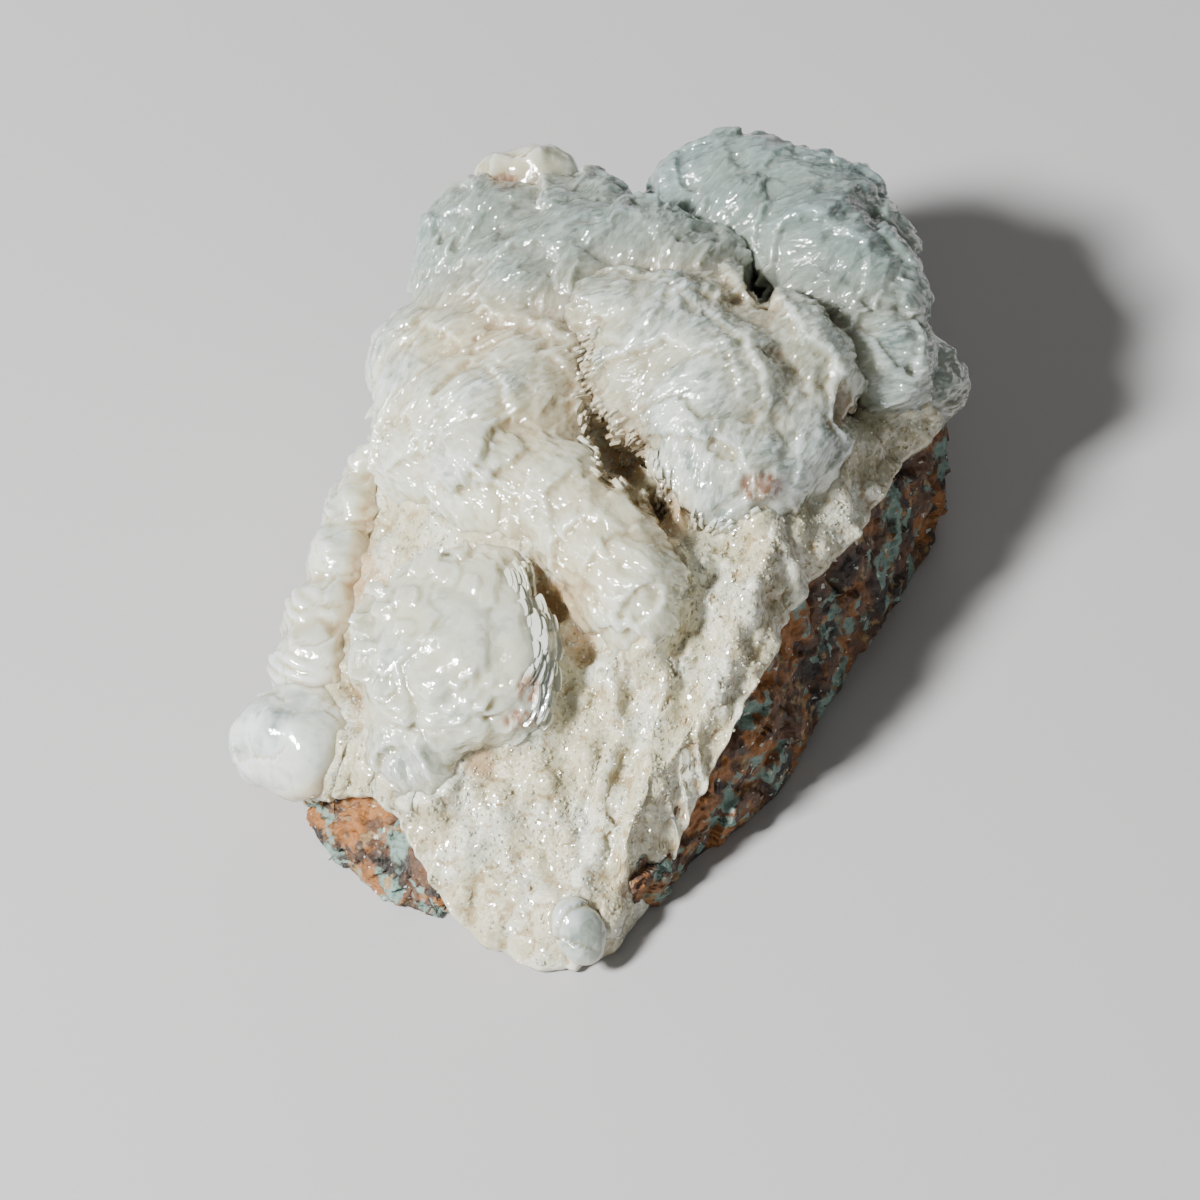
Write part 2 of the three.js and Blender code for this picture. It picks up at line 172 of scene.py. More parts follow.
def dot(a: np.ndarray, b: np.ndarray) -> np.ndarray:
    """Give the dot product of each pair of rows."""
    return np.einsum("ij,ij->i", a, b)


def unit(vectors: np.ndarray) -> np.ndarray:
    """Give each row at length 1."""
    return vectors / np.linalg.norm(vectors, axis=1)[:, None]


def chips(points: np.ndarray, cell: float, seed: int) -> np.ndarray:
    """Give the height of flat chips.

    Args:
        points: (n, 3) places in mm.
        cell: mean size of a chip in mm.
        seed: which chips.

    Returns:
        (n,) about -1 to 1: each grain is a plane that leans its own way, at a height of its own.
    """
    g = grains(points, cell, seed)
    turn, tall = 2 * math.pi * g.number, g.another(57.3) * 2 - 1
    flat = np.sqrt(1 - tall**2)
    lean = np.stack([flat * np.cos(turn), flat * np.sin(turn), tall], axis=1)
    return dot(g.offset, lean) + 0.5 * (g.another(17.7) - 0.5)


# Places as the eye sees them


@dataclass(frozen=True)
class Sight:
    """The view that the sheaves are placed in: an eye that looks down on the specimen."""

    look_down: float = math.radians(50)
    eye_distance: float = 750.0
    aim: Row = (0.0, -11.0, 18.0)

    @property
    def right(self) -> np.ndarray:
        """Give the direction to the eye's right."""
        return np.array([1.0, 0.0, 0.0])

    @property
    def up(self) -> np.ndarray:
        """Give the direction that is up in the view."""
        return np.array([0.0, math.sin(self.look_down), math.cos(self.look_down)])

    @property
    def near(self) -> np.ndarray:
        """Give the direction from what is looked at to the eye."""
        return np.array([0.0, -math.cos(self.look_down), math.sin(self.look_down)])

    @property
    def eye(self) -> np.ndarray:
        """Give the eye's place."""
        return np.array(self.aim) + self.near * self.eye_distance

    def place(self, across: float, up: float, height: float) -> np.ndarray:
        """Give the place that is seen across and up on the plane through the aim, at a height.

        Args:
            across: mm to the right of the aim.
            up: mm above the aim in the view.
            height: mm above the table.

        Returns:
            Where the line of sight meets that height.
        """
        sight = np.array(self.aim) + self.right * across + self.up * up - self.eye
        return self.eye + sight * (height - self.eye[2]) / sight[2]

    def seen(self, points: np.ndarray) -> np.ndarray:
        """Give where each point is seen, as (n, 2) mm across and up on the plane through the aim."""
        away = points - self.eye
        scale = self.eye_distance / -(away @ self.near)
        return np.column_stack([away @ self.right, away @ self.up]) * scale[:, None]

    def direction(self, parts: np.ndarray) -> np.ndarray:
        """Give a direction that is stated as right, up and near, as a unit vector."""
        d = self.right * parts[0] + self.up * parts[1] + self.near * parts[2]
        return d / np.linalg.norm(d)


SIGHT = Sight()


# The crust's and the rock's forms, as in the part's source

OUTLINE: tuple[tuple[Row, Row], ...] = (
    # the rock's edge on the table and the crust's edge: toe and right front
    ((-6, -60), (-6, -66.5, 1)),
    ((2, -57.5), (1, -64.5, 1)),
    ((9, -53.5), (7.8, -55.4, 2.2)),
    ((15.3, -46.8), (12.2, -49.8, 10.5)),
    ((22, -41), (16, -44, 16.5)),
    ((27.5, -35.2), (20.6, -37, 24)),
    ((30.5, -29.5), (24.8, -30, 26.2)),
    # right side
    ((33, -22), (28.5, -20.8, 27)),
    ((38, -12.5), (34.5, -11.2, 27)),
    ((43.5, -3), (41, -2, 27.5)),
    ((48.2, 6), (45.3, 8, 27)),
    ((52.5, 16), (51, 16.5, 24.5)),
    ((54, 27), (54, 27, 22)),
    # back
    ((50, 38), (52, 41, 20)),
    ((40, 48.5), (42.5, 52, 20)),
    ((26, 55), (27, 60, 21)),
    ((10, 54), (10, 60, 22)),
    ((-6, 54.5), (-7, 60, 20)),
    ((-20, 48), (-22, 53, 17)),
    ((-29, 37), (-32, 41, 14)),
    # left side
    ((-33, 24), (-36, 26, 11)),
    ((-36, 10), (-39, 10, 9)),
    ((-38, -5), (-41, -6, 8)),
    ((-40, -18), (-43.5, -19, 7)),
    ((-42, -30), (-46, -31, 6)),
    # left front, where the rock shows under the crust
    ((-43, -38.5), (-46, -39, 8)),
    ((-41.5, -44.5), (-43, -42.5, 10)),
    ((-38, -49), (-39, -43.8, 12.5)),
    ((-33.5, -53.5), (-33.4, -45.7, 15)),
    ((-29, -56), (-30, -48.5, 13.5)),
    ((-24.5, -57.2), (-26.5, -53, 9.5)),
    ((-20, -57.5), (-22, -57.8, 4)),
    ((-14, -59), (-15, -64, 1)),
)
ROCK_EDGE = np.array([rock for rock, _ in OUTLINE], dtype=float)
CRUST_EDGE = np.array([crust for _, crust in OUTLINE], dtype=float)
TOP_CENTRE = np.array([0.0, 4.0])
LEAST_HEIGHT = 0.7


@dataclass(frozen=True)
class Slope:
    """One side that the crust's plateau falls away to: height at its start, and fall per mm."""

    along: Row
    start: float
    height: float
    fall: float


@dataclass(frozen=True)
class Ridge:
    """A fold of the crust that runs down the front slope, in plan."""

    height: float
    width: float
    line: tuple[Row, ...]


@dataclass(frozen=True)
class Nodule:
    """A rounded bump of the crust, or a hollow where the height is negative."""

    at: Row
    radius: float
    height: float


PLATEAU_HEIGHT = 35.0
SLOPE_BLEND = 2.5
SLOPES = (
    Slope((0, -1), 22, 33, 0.66),
    Slope((-1, 0), 20, 35, 0.95),
    Slope((1, 0), 22, 35, 0.25),
    Slope((0, 1), 38, 35, 0.45),
)
RIDGES = (
    Ridge(3.4, 2.2, (
        (19, -5), (25.8, -14), (23.5, -20), (20, -27), (17.4, -33), (13, -41), (7.7, -48), (5, -56),
    )),
    Ridge(2.6, 1.8, ((6.3, -28), (9.9, -35.4), (8, -39.5), (6.3, -47), (3.5, -54))),
    Ridge(1.8, 1.5, ((20.3, -31), (17.9, -37), (14.6, -43), (11, -51))),
    Ridge(1.9, 1.5, ((0.3, -31.3), (3.5, -38.9), (1.2, -46), (-0.5, -55))),
    Ridge(1.6, 2.0, ((29.5, -13), (28, -22), (24, -29.5), (20.5, -35))),
)
NODULES = (
    Nodule((-8.7, -46), 4.6, 2.6),
    Nodule((-15, -50), 4, 1.9),
    Nodule((-5, -54), 4.5, 1.7),
    Nodule((-19.5, -54), 3.5, 1.4),
    Nodule((-12, -58.5), 3.6, 1.5),
    Nodule((-1.5, -42.5), 3, 1.6),
    Nodule((-25, -50.5), 3, 1.3),
    Nodule((-30.5, -8), 7, 3.5),
    Nodule((39, 9), 6, 2.5),
    Nodule((36, -3), 5, 2),
    Nodule((30, -9.5), 4, 1.4),
    Nodule((3, 5), 7, -7),
    Nodule((10, -4), 6, -6),
    Nodule((-8, -21), 4.5, -6.5),
    Nodule((-1.5, -28), 4.5, -3),
    Nodule((25, 39), 4, -6),
    Nodule((37, 16), 3, -4),
    Nodule((-34, -28), 4, -4),
)
NODULE_STEEPNESS = 1.6


def around(stations: np.ndarray, share: np.ndarray) -> np.ndarray:
    """Give places on the smooth closed curve through stations.

    Args:
        stations: (n, k) the stations, in order.
        share: how far round, from 0 to 1 for once round.

    Returns:
        (len(share), k) places of a Catmull-Rom curve.
    """
    n = len(stations)
    at = np.mod(share, 1.0) * n
    i = np.floor(at).astype(int)
    f = (at - i)[:, None]
    a, b, c, d = (stations[(i + k) % n] for k in (-1, 0, 1, 2))
    return 0.5 * (2 * b + (c - a) * f + (2 * a - 5 * b + 4 * c - d) * f**2 + (3 * b - a - 3 * c + d) * f**3)


def distance_to_line(x: np.ndarray, y: np.ndarray, line: tuple[Row, ...]) -> np.ndarray:
    """Give the distance in plan from each place to a line of points.

    Args:
        x: the places' x, of any shape.
        y: the places' y.
        line: the line's points.

    Returns:
        The least distance over the line's straight stretches.
    """
    least = np.full(x.shape, np.inf)
    for (ax, ay), (bx, by) in zip(line, line[1:]):
        dx, dy = bx - ax, by - ay
        f = np.clip(((x - ax) * dx + (y - ay) * dy) / (dx * dx + dy * dy), 0, 1)
        least = np.minimum(least, np.hypot(x - ax - f * dx, y - ay - f * dy))
    return least


def crust_form(x: np.ndarray, y: np.ndarray) -> np.ndarray:
    """Give the crust's broad height.

    Args:
        x: the places' x, of any shape.
        y: the places' y.

    Returns:
        The lowest of the plateau and its slopes, blended by -k log sum exp(-h/k).
    """
    heights = [np.full(x.shape, PLATEAU_HEIGHT)]
    heights += [s.height - s.fall * (x * s.along[0] + y * s.along[1] - s.start) for s in SLOPES]
    return -SLOPE_BLEND * np.log(sum(np.exp(-h / SLOPE_BLEND) for h in heights))


def crust_relief(x: np.ndarray, y: np.ndarray) -> np.ndarray:
    """Give the height of ridges, nodules and hollows over the broad form.

    Args:
        x: the places' x, of any shape.
        y: the places' y.

    Returns:
        The sum of bell curves of the distance from each, in mm.
    """
    relief = sum(r.height * np.exp(-((distance_to_line(x, y, r.line) / r.width) ** 2)) for r in RIDGES)
    for n in NODULES:
        away = np.hypot(x - n.at[0], y - n.at[1]) / n.radius
        relief = relief + n.height * np.exp(-NODULE_STEEPNESS * away**2)
    return relief


# Meshes


@dataclass
class Surface:
    """A mesh in the making: corners in mm, and tables of faces that have as many corners each."""

    corners: np.ndarray
    faces: list[np.ndarray]

    def build(self, name: str, smooth: bool = True) -> bpy.types.Object:
        """Write the mesh into a new object.

        Args:
            name: the object's name.
            smooth: whether its faces are shaded smooth.

        Returns:
            The object, in the scene, at the origin.
        """
        mesh = bpy.data.meshes.new(name)
        loops = np.concatenate([f.ravel() for f in self.faces]).astype(np.int32)
        sizes = np.concatenate([np.full(len(f), f.shape[1]) for f in self.faces]).astype(np.int32)
        starts = np.concatenate([[0], np.cumsum(sizes)[:-1]]).astype(np.int32)
        mesh.vertices.add(len(self.corners))
        mesh.vertices.foreach_set("co", (self.corners * MM).astype(np.float32).ravel())
        mesh.loops.add(len(loops))
        mesh.loops.foreach_set("vertex_index", loops)
        mesh.polygons.add(len(sizes))
        mesh.polygons.foreach_set("loop_start", starts)
        mesh.polygons.foreach_set("use_smooth", np.full(len(sizes), smooth))
        mesh.update(calc_edges=True)
        made = bpy.data.objects.new(name, mesh)
        bpy.context.scene.collection.objects.link(made)
        return made


def write_numbers(mesh: bpy.types.Mesh, key: str, values: np.ndarray) -> None:
    """Write one number or one vector for each corner into a mesh attribute.

    Args:
        mesh: the mesh.
        key: the attribute's name.
        values: (n,) numbers or (n, 3) vectors.
    """
    kind, slot = ("FLOAT_VECTOR", "vector") if values.ndim == 2 else ("FLOAT", "value")
    mesh.attributes.new(key, kind, "POINT").data.foreach_set(slot, values.astype(np.float32).ravel())


def corners_of(made: bpy.types.Object) -> np.ndarray:
    """Give an object's corners in mm."""
    flat = np.empty(3 * len(made.data.vertices), dtype=np.float32)
    made.data.vertices.foreach_get("co", flat)
    return flat.reshape(-1, 3).astype(float) / MM


def normals_of(made: bpy.types.Object) -> np.ndarray:
    """Give the normal at each of an object's corners."""
    flat = np.empty(3 * len(made.data.vertices), dtype=np.float32)
    made.data.vertices.foreach_get("normal", flat)
    return flat.reshape(-1, 3)


def bulge_of(made: bpy.types.Object) -> np.ndarray:
    """Give how far each corner bulges.

    Args:
        made: the object.

    Returns:
        (n,) mm that each corner stands out from the mean of its neighbours, along its normal.
    """
    mesh = made.data
    count = len(mesh.vertices)
    corners = corners_of(made)
    edges = np.empty(2 * len(mesh.edges), dtype=np.int32)
    mesh.edges.foreach_get("vertices", edges)
    a, b = edges.reshape(-1, 2).T
    degree = np.maximum(np.bincount(a, minlength=count) + np.bincount(b, minlength=count), 1)
    total = [np.bincount(a, corners[b, k], count) + np.bincount(b, corners[a, k], count) for k in range(3)]
    return dot(corners - np.stack(total, axis=1) / degree[:, None], normals_of(made))


def area_of(made: bpy.types.Object) -> float:
    """Give the area of an object's faces in square mm."""
    return sum(p.area for p in made.data.polygons) / MM**2


def remeshed(made: bpy.types.Object, voxel: float) -> bpy.types.Object:
    """Join all overlapping solids of an object into one closed surface.

    Args:
        made: the object, which is used up.
        voxel: the new mesh's step in mm.

    Returns:
        A new object of the same name.
    """
    name = made.name
    change = made.modifiers.new("joined", "REMESH")
    change.mode = "VOXEL"
    change.voxel_size = voxel * MM
    change.use_smooth_shade = True
    seen = made.evaluated_get(bpy.context.evaluated_depsgraph_get())
    mesh = bpy.data.meshes.new_from_object(seen)
    old = made.data
    bpy.data.objects.remove(made)
    bpy.data.meshes.remove(old)
    joined = bpy.data.objects.new(name, mesh)
    mesh.name = name
    bpy.context.scene.collection.objects.link(joined)
    return joined


def merged(first: bpy.types.Object, second: bpy.types.Object) -> bpy.types.Object:
    """Put a second object's corners and faces into the first.

    Args:
        first: the object that takes them.
        second: the object that is used up.

    Returns:
        The first object.
    """
    bm = bmesh.new()
    bm.from_mesh(first.data)
    bm.from_mesh(second.data)
    bm.to_mesh(first.data)
    bm.free()
    old = second.data
    bpy.data.objects.remove(second)
    bpy.data.meshes.remove(old)
    return first


def settle(made: bpy.types.Object, node: Node) -> None:
    """Make a piece ride on the body and stand for its node, and log how many triangles it has.

    Args:
        made: the piece.
        node: the node that it stands for.
    """
    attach(made, BODY)
    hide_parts(node.value)
    tris = sum(len(p.vertices) - 2 for p in made.data.polygons)
    LOG.info("%s: %d triangles", made.name, tris)


# The sheaves


class Habit(Enum):
    """How a group of fans grew."""

    PLATY = "thin plates with free edges"
    FLUTED = "smooth lumps with shallow grooves across the row"
    SMOOTH = "a smooth block"


@dataclass(frozen=True)
class Group:
    """Fans of plates that point much the same way, placed as the eye sees them.

    Each row of fans has the fan's middle (across, up, height) and its half sizes through the stack of
    plates, outwards and across the plates. opens and stacks are directions as right, up and near. blades is
    the range of the widths that the plates' edges are split into, in mm. warm is how cream it is. clear is
    how glassy and grey it is, and it also paints shade on the upper sheaves that face away from the key
    lamp. toothed is whether teeth stand along its rims, blunt is how square its block is, 1 for an
    ellipsoid and less for squarer, and squash multiplies its width and height as the eye sees them.
    """

    name: str
    opens: Row
    stacks: Row
    fans: tuple[Row, ...]
    blades: Row = (1.8, 4.0)
    habit: Habit = Habit.PLATY
    warm: float = 0.3
    clear: float = 0.3
    toothed: bool = False
    blunt: float = 1.0
    squash: Row = (1.0, 1.0)


MAIN_GROUPS = (
    Group("upper_left", (-0.35, 0.45, 0.8), (0.75, -0.3, 0.55), (
        (-19.3, 52.5, 36, 8.5, 10.5, 10.5), (-11, 54.5, 37.5, 8, 9, 9), (-1.5, 56, 37, 8, 7.5, 8),
        (-12, 45.5, 38.5, 9, 10, 9.5), (-20, 44.5, 34, 8, 8.5, 8.5), (-4, 49.5, 39.5, 9.5, 10, 10),
        (5.5, 50, 40, 9.5, 9.5, 10), (13, 47.5, 39, 8.5, 9, 9), (17, 48, 37, 6.5, 7, 7),
        (-6, 41.5, 37.5, 9, 9, 9),
    ), (3.0, 8.0), warm=0.2, clear=0.9),
    Group("top_knob", (-0.1, 0.8, 0.5), (0.9, 0.1, 0.2), (
        (-15.5, 62, 39.5, 4.4, 5, 4.6), (-9.8, 63, 40, 6, 5.6, 5.4),
    ), habit=Habit.SMOOTH, warm=1.3, clear=0.1),
    Group("crest", (-0.55, -0.35, 0.8), (0.6, -0.75, 0.2), (
        (2, 40.5, 40, 9, 10, 10), (9.5, 37.5, 42, 10, 11.5, 11.5), (6.5, 31.5, 40, 8, 9, 9),
        (16.5, 30, 41, 11.5, 12.5, 12.5), (17, 21.5, 38, 9, 10.5, 10), (25, 37.5, 39, 9, 9.5, 9.5),
        (29.5, 33, 38, 9.5, 10, 10), (21.5, 17.5, 35.5, 8.5, 9, 9), (28, 24, 36, 9.5, 10, 9.5),
        (16.5, 42.5, 38.5, 8, 8.5, 8.5),
    ), warm=0.3, clear=0.45, toothed=True),
    Group("upper_right", (0.3, 0.5, 0.8), (0.5, -0.7, 0.5), (
        (15.8, 60, 34, 8.5, 9.5, 9), (22, 61.5, 36, 8.5, 8.5, 9), (28.5, 59.5, 37, 8.5, 9.5, 9.5),
        (35.5, 56.5, 35.5, 8.5, 9, 9), (21.5, 55.5, 38, 8.5, 9, 8.8), (32, 52.5, 39, 9, 9.5, 9.5),
        (37, 47, 37, 9, 9.5, 9.5), (31, 43.5, 36.5, 7, 8, 8),
    ), (2.2, 5.5), warm=0.1, clear=1.1),
    Group("right_flank", (0.55, 0.1, 0.8), (0.2, 0.9, -0.2), (
        (41.2, 51.5, 32.5, 6.5, 7, 7), (41.2, 44.5, 34.5, 8.5, 8.5, 8.5), (41.5, 35.5, 33.5, 9, 9, 9),
    ), (2.5, 6.0), warm=0.5, clear=0.7),
    Group("middle_left", (-0.45, 0.1, 0.9), (0.65, -0.6, 0.4), (
        (-26.5, 35.5, 31, 7.5, 8, 8), (-25, 29, 32.5, 9, 9.5, 9.5), (-19.5, 35, 35, 9, 9.5, 9.5),
        (-10.5, 31.5, 37, 10, 10, 10), (-17.5, 25.5, 35.5, 10.5, 11, 11), (-9.5, 25, 35.5, 7.5, 8, 8),
        (-13, 39, 35.5, 8.5, 9, 9),
    ), (2.2, 6.0), warm=0.45, clear=0.3),
    Group("centre_sheaf", (0.6, -0.5, 0.65), (0.55, 0.8, 0.1), (
        (-25, 20, 31, 8, 9, 9), (-15, 16.5, 34.5, 10, 10.5, 10.5), (-6, 14.5, 35.5, 8.5, 9.5, 8.5),
        (0.3, 8.8, 35.2, 8, 8.4, 8), (4.5, 3.5, 33.5, 8, 8.5, 8), (-0.8, 6, 33.5, 7, 8, 7.5),
        (3.8, -1.5, 31.5, 6, 7, 6.2),
    ), warm=0.75, clear=0.15, toothed=True),
)
MAIN_PIECES = {
    "left_sheaves": ("upper_left", "middle_left", "centre_sheaf"),
    "crest_sheaves": ("crest",),
    "right_hand_sheaves": ("upper_right", "right_flank"),
    "top_knob": ("top_knob",),
}
LOWER_GROUPS = (
    Group("disc", (0.75, 0.1, 0.5), (-0.35, 0.15, 0.95), (
        (-22.5, -8, 27.5, 8, 14.8, 14.2), (-18.5, 0.5, 29.5, 5, 9, 8.5), (-15.5, -14, 24.5, 5.5, 8, 8),
    ), (3.5, 8.0), warm=0.7, clear=0.35, toothed=True),
    Group("disc_foot", (-0.1, -0.8, 0.6), (0.85, 0.1, 0.5), (
        (-27.5, -23, 17.5, 7.5, 8, 7.5),
    ), warm=0.3, clear=0.45),
)
LEFT_ROW_GROUPS = (
    Group("row", (-0.85, 0.1, 0.5), (-0.25, 0.95, 0.1), (
        (-34.3, 20.5, 25, 4, 3.6, 3.4), (-36.8, 13.5, 22, 5.6, 5.2, 5), (-38.8, 5.5, 19.5, 6, 6, 5.6),
        (-41.2, -3, 17, 6.4, 6.4, 6), (-42.8, -10.5, 15, 7, 7, 6.6),
    ), habit=Habit.FLUTED, warm=0.35, clear=0.1),
    Group("knob", (-0.5, -0.5, 0.7), (0.9, -0.3, 0.2), (
        (-44.6, -21.5, 12.8, 9.8, 9, 8.6),
    ), habit=Habit.SMOOTH, warm=0.0, clear=0.05, blunt=0.6, squash=(0.94, 0.86)),
)
RIGHT_GROUPS = (
    Group("behind_the_flank", (0.8, 0.1, 0.5), (0.2, 0.9, 0.2), (
        (47.6, 32, 25.5, 7.6, 7.2, 6.8),
    ), (3.5, 8.0), warm=0.3, clear=0.8),
)
TOE_GROUPS = (
    Group("toe", (0.3, -0.9, 0.2), (0.1, 0.1, 1), (
        (-2.6, -49.6, 7, 3.4, 6, 5.2),
    ), habit=Habit.SMOOTH, warm=0.0, clear=0.55, squash=(0.75, 0.95)),
)

# how far a fan's directions turn from its group's, and where the numbers that turn them start
FAN_TURN = 0.4
OPENS_NUMBER = 50
STACKS_NUMBER = 60


@dataclass(frozen=True)
class Spot:
    """An oval place on the specimen as the eye sees it, with its middle and half sizes in mm."""

    across: float
    up: float
    wide: float
    tall: float

    def share(self, points: np.ndarray) -> np.ndarray:
        """Give 1 in its middle, falling off as exp(-r^2)."""
        away = (SIGHT.seen(points) - (self.across, self.up)) / (self.wide, self.tall)
        return np.exp(-(away**2).sum(axis=1))


# the two small cavities and the slit, which are cut deep and also painted dark as shade
PITS = (Spot(22.7, 47.8, 0.8, 1.4), Spot(24.4, 46.2, 1.3, 1.1), Spot(36.7, 28.9, 0.9, 2.2))
PIT_DEPTH = 7.5
# the channel between the crest and the centre sheaf, and the arch beside the lower sheaf
CHANNEL = (
    Spot(0.0, 25.0, 1.3, 2.0),
    Spot(3.6, 21.0, 2.8, 2.2),
    Spot(8.0, 16.4, 2.4, 2.0),
    Spot(12.0, 11.5, 2.0, 2.0),
)
ARCH = (Spot(-8.6, 0.5, 1.8, 3.2),)
GAP_DEPTH = 3.6
# stains and painted shade: rusty stains; the row's inner side, which is tan stain and painted shade; and
# brown in what is sheltered, which is stain and painted shade
RUSTY = (
    Spot(-14.2, 62.8, 2.2, 1.3),
    Spot(24.2, 17.0, 3.4, 2.4),
    Spot(-10.8, -13.2, 1.8, 2.4),
    Spot(-12.0, -18.0, 2.6, 1.6),
)
ROW_STAIN_AND_SHADE = (Spot(-33.8, 12.0, 2.0, 5.0), Spot(-35.6, 2.0, 2.0, 6.0), Spot(-37.4, -9.0, 2.0, 6.0))
BROWN = (
    Spot(4.0, 22.0, 4.5, 6.0),
    Spot(9.5, 12.0, 5.0, 5.0),
    Spot(-6.5, 0.0, 5.0, 4.5),
    Spot(-3.0, -6.0, 3.5, 3.5),
    Spot(-35.5, 3.0, 2.2, 12.0),
    Spot(-36.0, -13.5, 2.0, 5.0),
    Spot(-18.0, -25.0, 3.0, 2.5),
    Spot(-11.0, 4.0, 3.0, 2.0),
)
# serrated rims as across and up: the crest's, the sheaves' across the channel, and the lower sheaf's
RIMS = (
    (
        (-1.7, 38.7), (-1.7, 28.2), (2.3, 26.4), (8.4, 19.8),
        (11.1, 13.2), (16.7, 11.0), (21.0, 10.5), (24.0, 12.0),
    ),
    ((-1.8, 27.0), (-0.6, 20.4), (5.4, 17.4), (9.0, 14.4)),
    ((-12.0, 3.6), (-9.0, -1.2), (-8.1, -6.0), (-9.0, -12.0), (-8.6, -17.0)),
)


def distance_to_rims(points: np.ndarray) -> np.ndarray:
    """Give how far each point is from the nearest serrated rim.

    Args:
        points: (n, 3) places in mm.

    Returns:
        (n,) mm as the eye sees it, the least over the rims' straight stretches.
    """
    x, y = SIGHT.seen(points).T
    return np.min([distance_to_line(x, y, rim) for rim in RIMS], axis=0)


def spotted(points: np.ndarray, spots: tuple[Spot, ...]) -> np.ndarray:
    """Give the largest share of any of the spots at each point."""
    return np.max([spot.share(points) for spot in spots], axis=0)


@dataclass
class Lobe:
    """One fan of plates: an ellipsoid whose axes are the stack, outwards and across."""

    group: Group
    middle: np.ndarray
    axes: np.ndarray
    half: np.ndarray

    @classmethod
    def of_group(cls, group: Group, fan: Row, seed: int) -> "Lobe":
        """Make the lobe of one row of a group.

        Args:
            group: the group.
            fan: the row.
            seed: the fan's number in its cluster, which turns it a little.

        Returns:
            The lobe.
        """
        opens = cls.turned(group.opens, seed, OPENS_NUMBER)
        stacks = cls.turned(group.stacks, seed, STACKS_NUMBER)
        stacks = stacks - opens * stacks.dot(opens)
        stacks /= np.linalg.norm(stacks)
        axes = np.array([stacks, opens, np.cross(opens, stacks)])
        return cls(group, SIGHT.place(*fan[:3]), axes, np.array(fan[3:]))

    @staticmethod
    def turned(direction: Row, seed: int, number: int) -> np.ndarray:
        """Turn a direction that is stated as right, up and near a little, each part by up to FAN_TURN."""
        parts = [d + FAN_TURN * uneven(seed, number + k) for k, d in enumerate(direction)]
        return SIGHT.direction(np.array(parts))


def lobes_of(node: Node, groups: tuple[Group, ...]) -> list[Lobe]:
    """Make all lobes of a cluster.

    Args:
        node: the cluster's node, whose name's length is the first lobe's number, as in the part's source.
        groups: its groups.

    Returns:
        The lobes.
    """
    rows = [(group, fan) for group in groups for fan in group.fans]
    first = len(node.value)
    return [Lobe.of_group(group, fan, first + k) for k, (group, fan) in enumerate(rows)]


def lobe_distance(points: np.ndarray, lobe: Lobe) -> np.ndarray:
    """Give the distance from each point to a lobe's skin, negative inside.

    Args:
        points: (n, 3) places in mm.
        lobe: the lobe.

    Returns:
        m (m - 1) / g, where m is the length of the place over the half sizes and g is its slope.
    """
    local = (points - lobe.middle) @ lobe.axes.T
    m = np.linalg.norm(local / lobe.half, axis=1)
    g = np.linalg.norm(local / lobe.half**2, axis=1)
    return m * (m - 1) / np.maximum(g, 1e-6)


def mass_distance(points: np.ndarray, lobes: list[Lobe], blend: float) -> np.ndarray:
    """Give the distance to the skin of many lobes that flow into each other.

    Args:
        points: (n, 3) places in mm.
        lobes: the lobes.
        blend: how far they flow, k in mm.

    Returns:
        (n,) mm, -k log sum exp(-d/k).
    """
    total = np.zeros(len(points))
    for lobe in lobes:
        total += np.exp(-np.clip(lobe_distance(points, lobe), -30, 30) / blend)
    return -blend * np.log(total)


TONE_BLEND = 3.0


def tones(points: np.ndarray, lobes: list[Lobe]) -> np.ndarray:
    """Give how cream and how glassy each point is, where glassy also stands for painted shade.

    Args:
        points: (n, 3) places in mm.
        lobes: the lobes, whose groups have the tones.

    Returns:
        (n, 2) tones, mixed with the weights exp(-d / TONE_BLEND).
    """
    total = np.full(len(points), 1e-9)
    mixed = np.zeros((len(points), 2))
    for lobe in lobes:
        weight = np.exp(-np.clip(lobe_distance(points, lobe), -20, 60) / TONE_BLEND)
        total += weight
        mixed += weight[:, None] * np.array([lobe.group.warm, lobe.group.clear])
    return mixed / total[:, None]


def above_crust(points: np.ndarray) -> np.ndarray:
    """Give each point's height over the crust."""
    x, y = points[:, 0], points[:, 1]
    return points[:, 2] - crust_form(x, y) - crust_relief(x, y)


LOBE_SPACING = 60.0


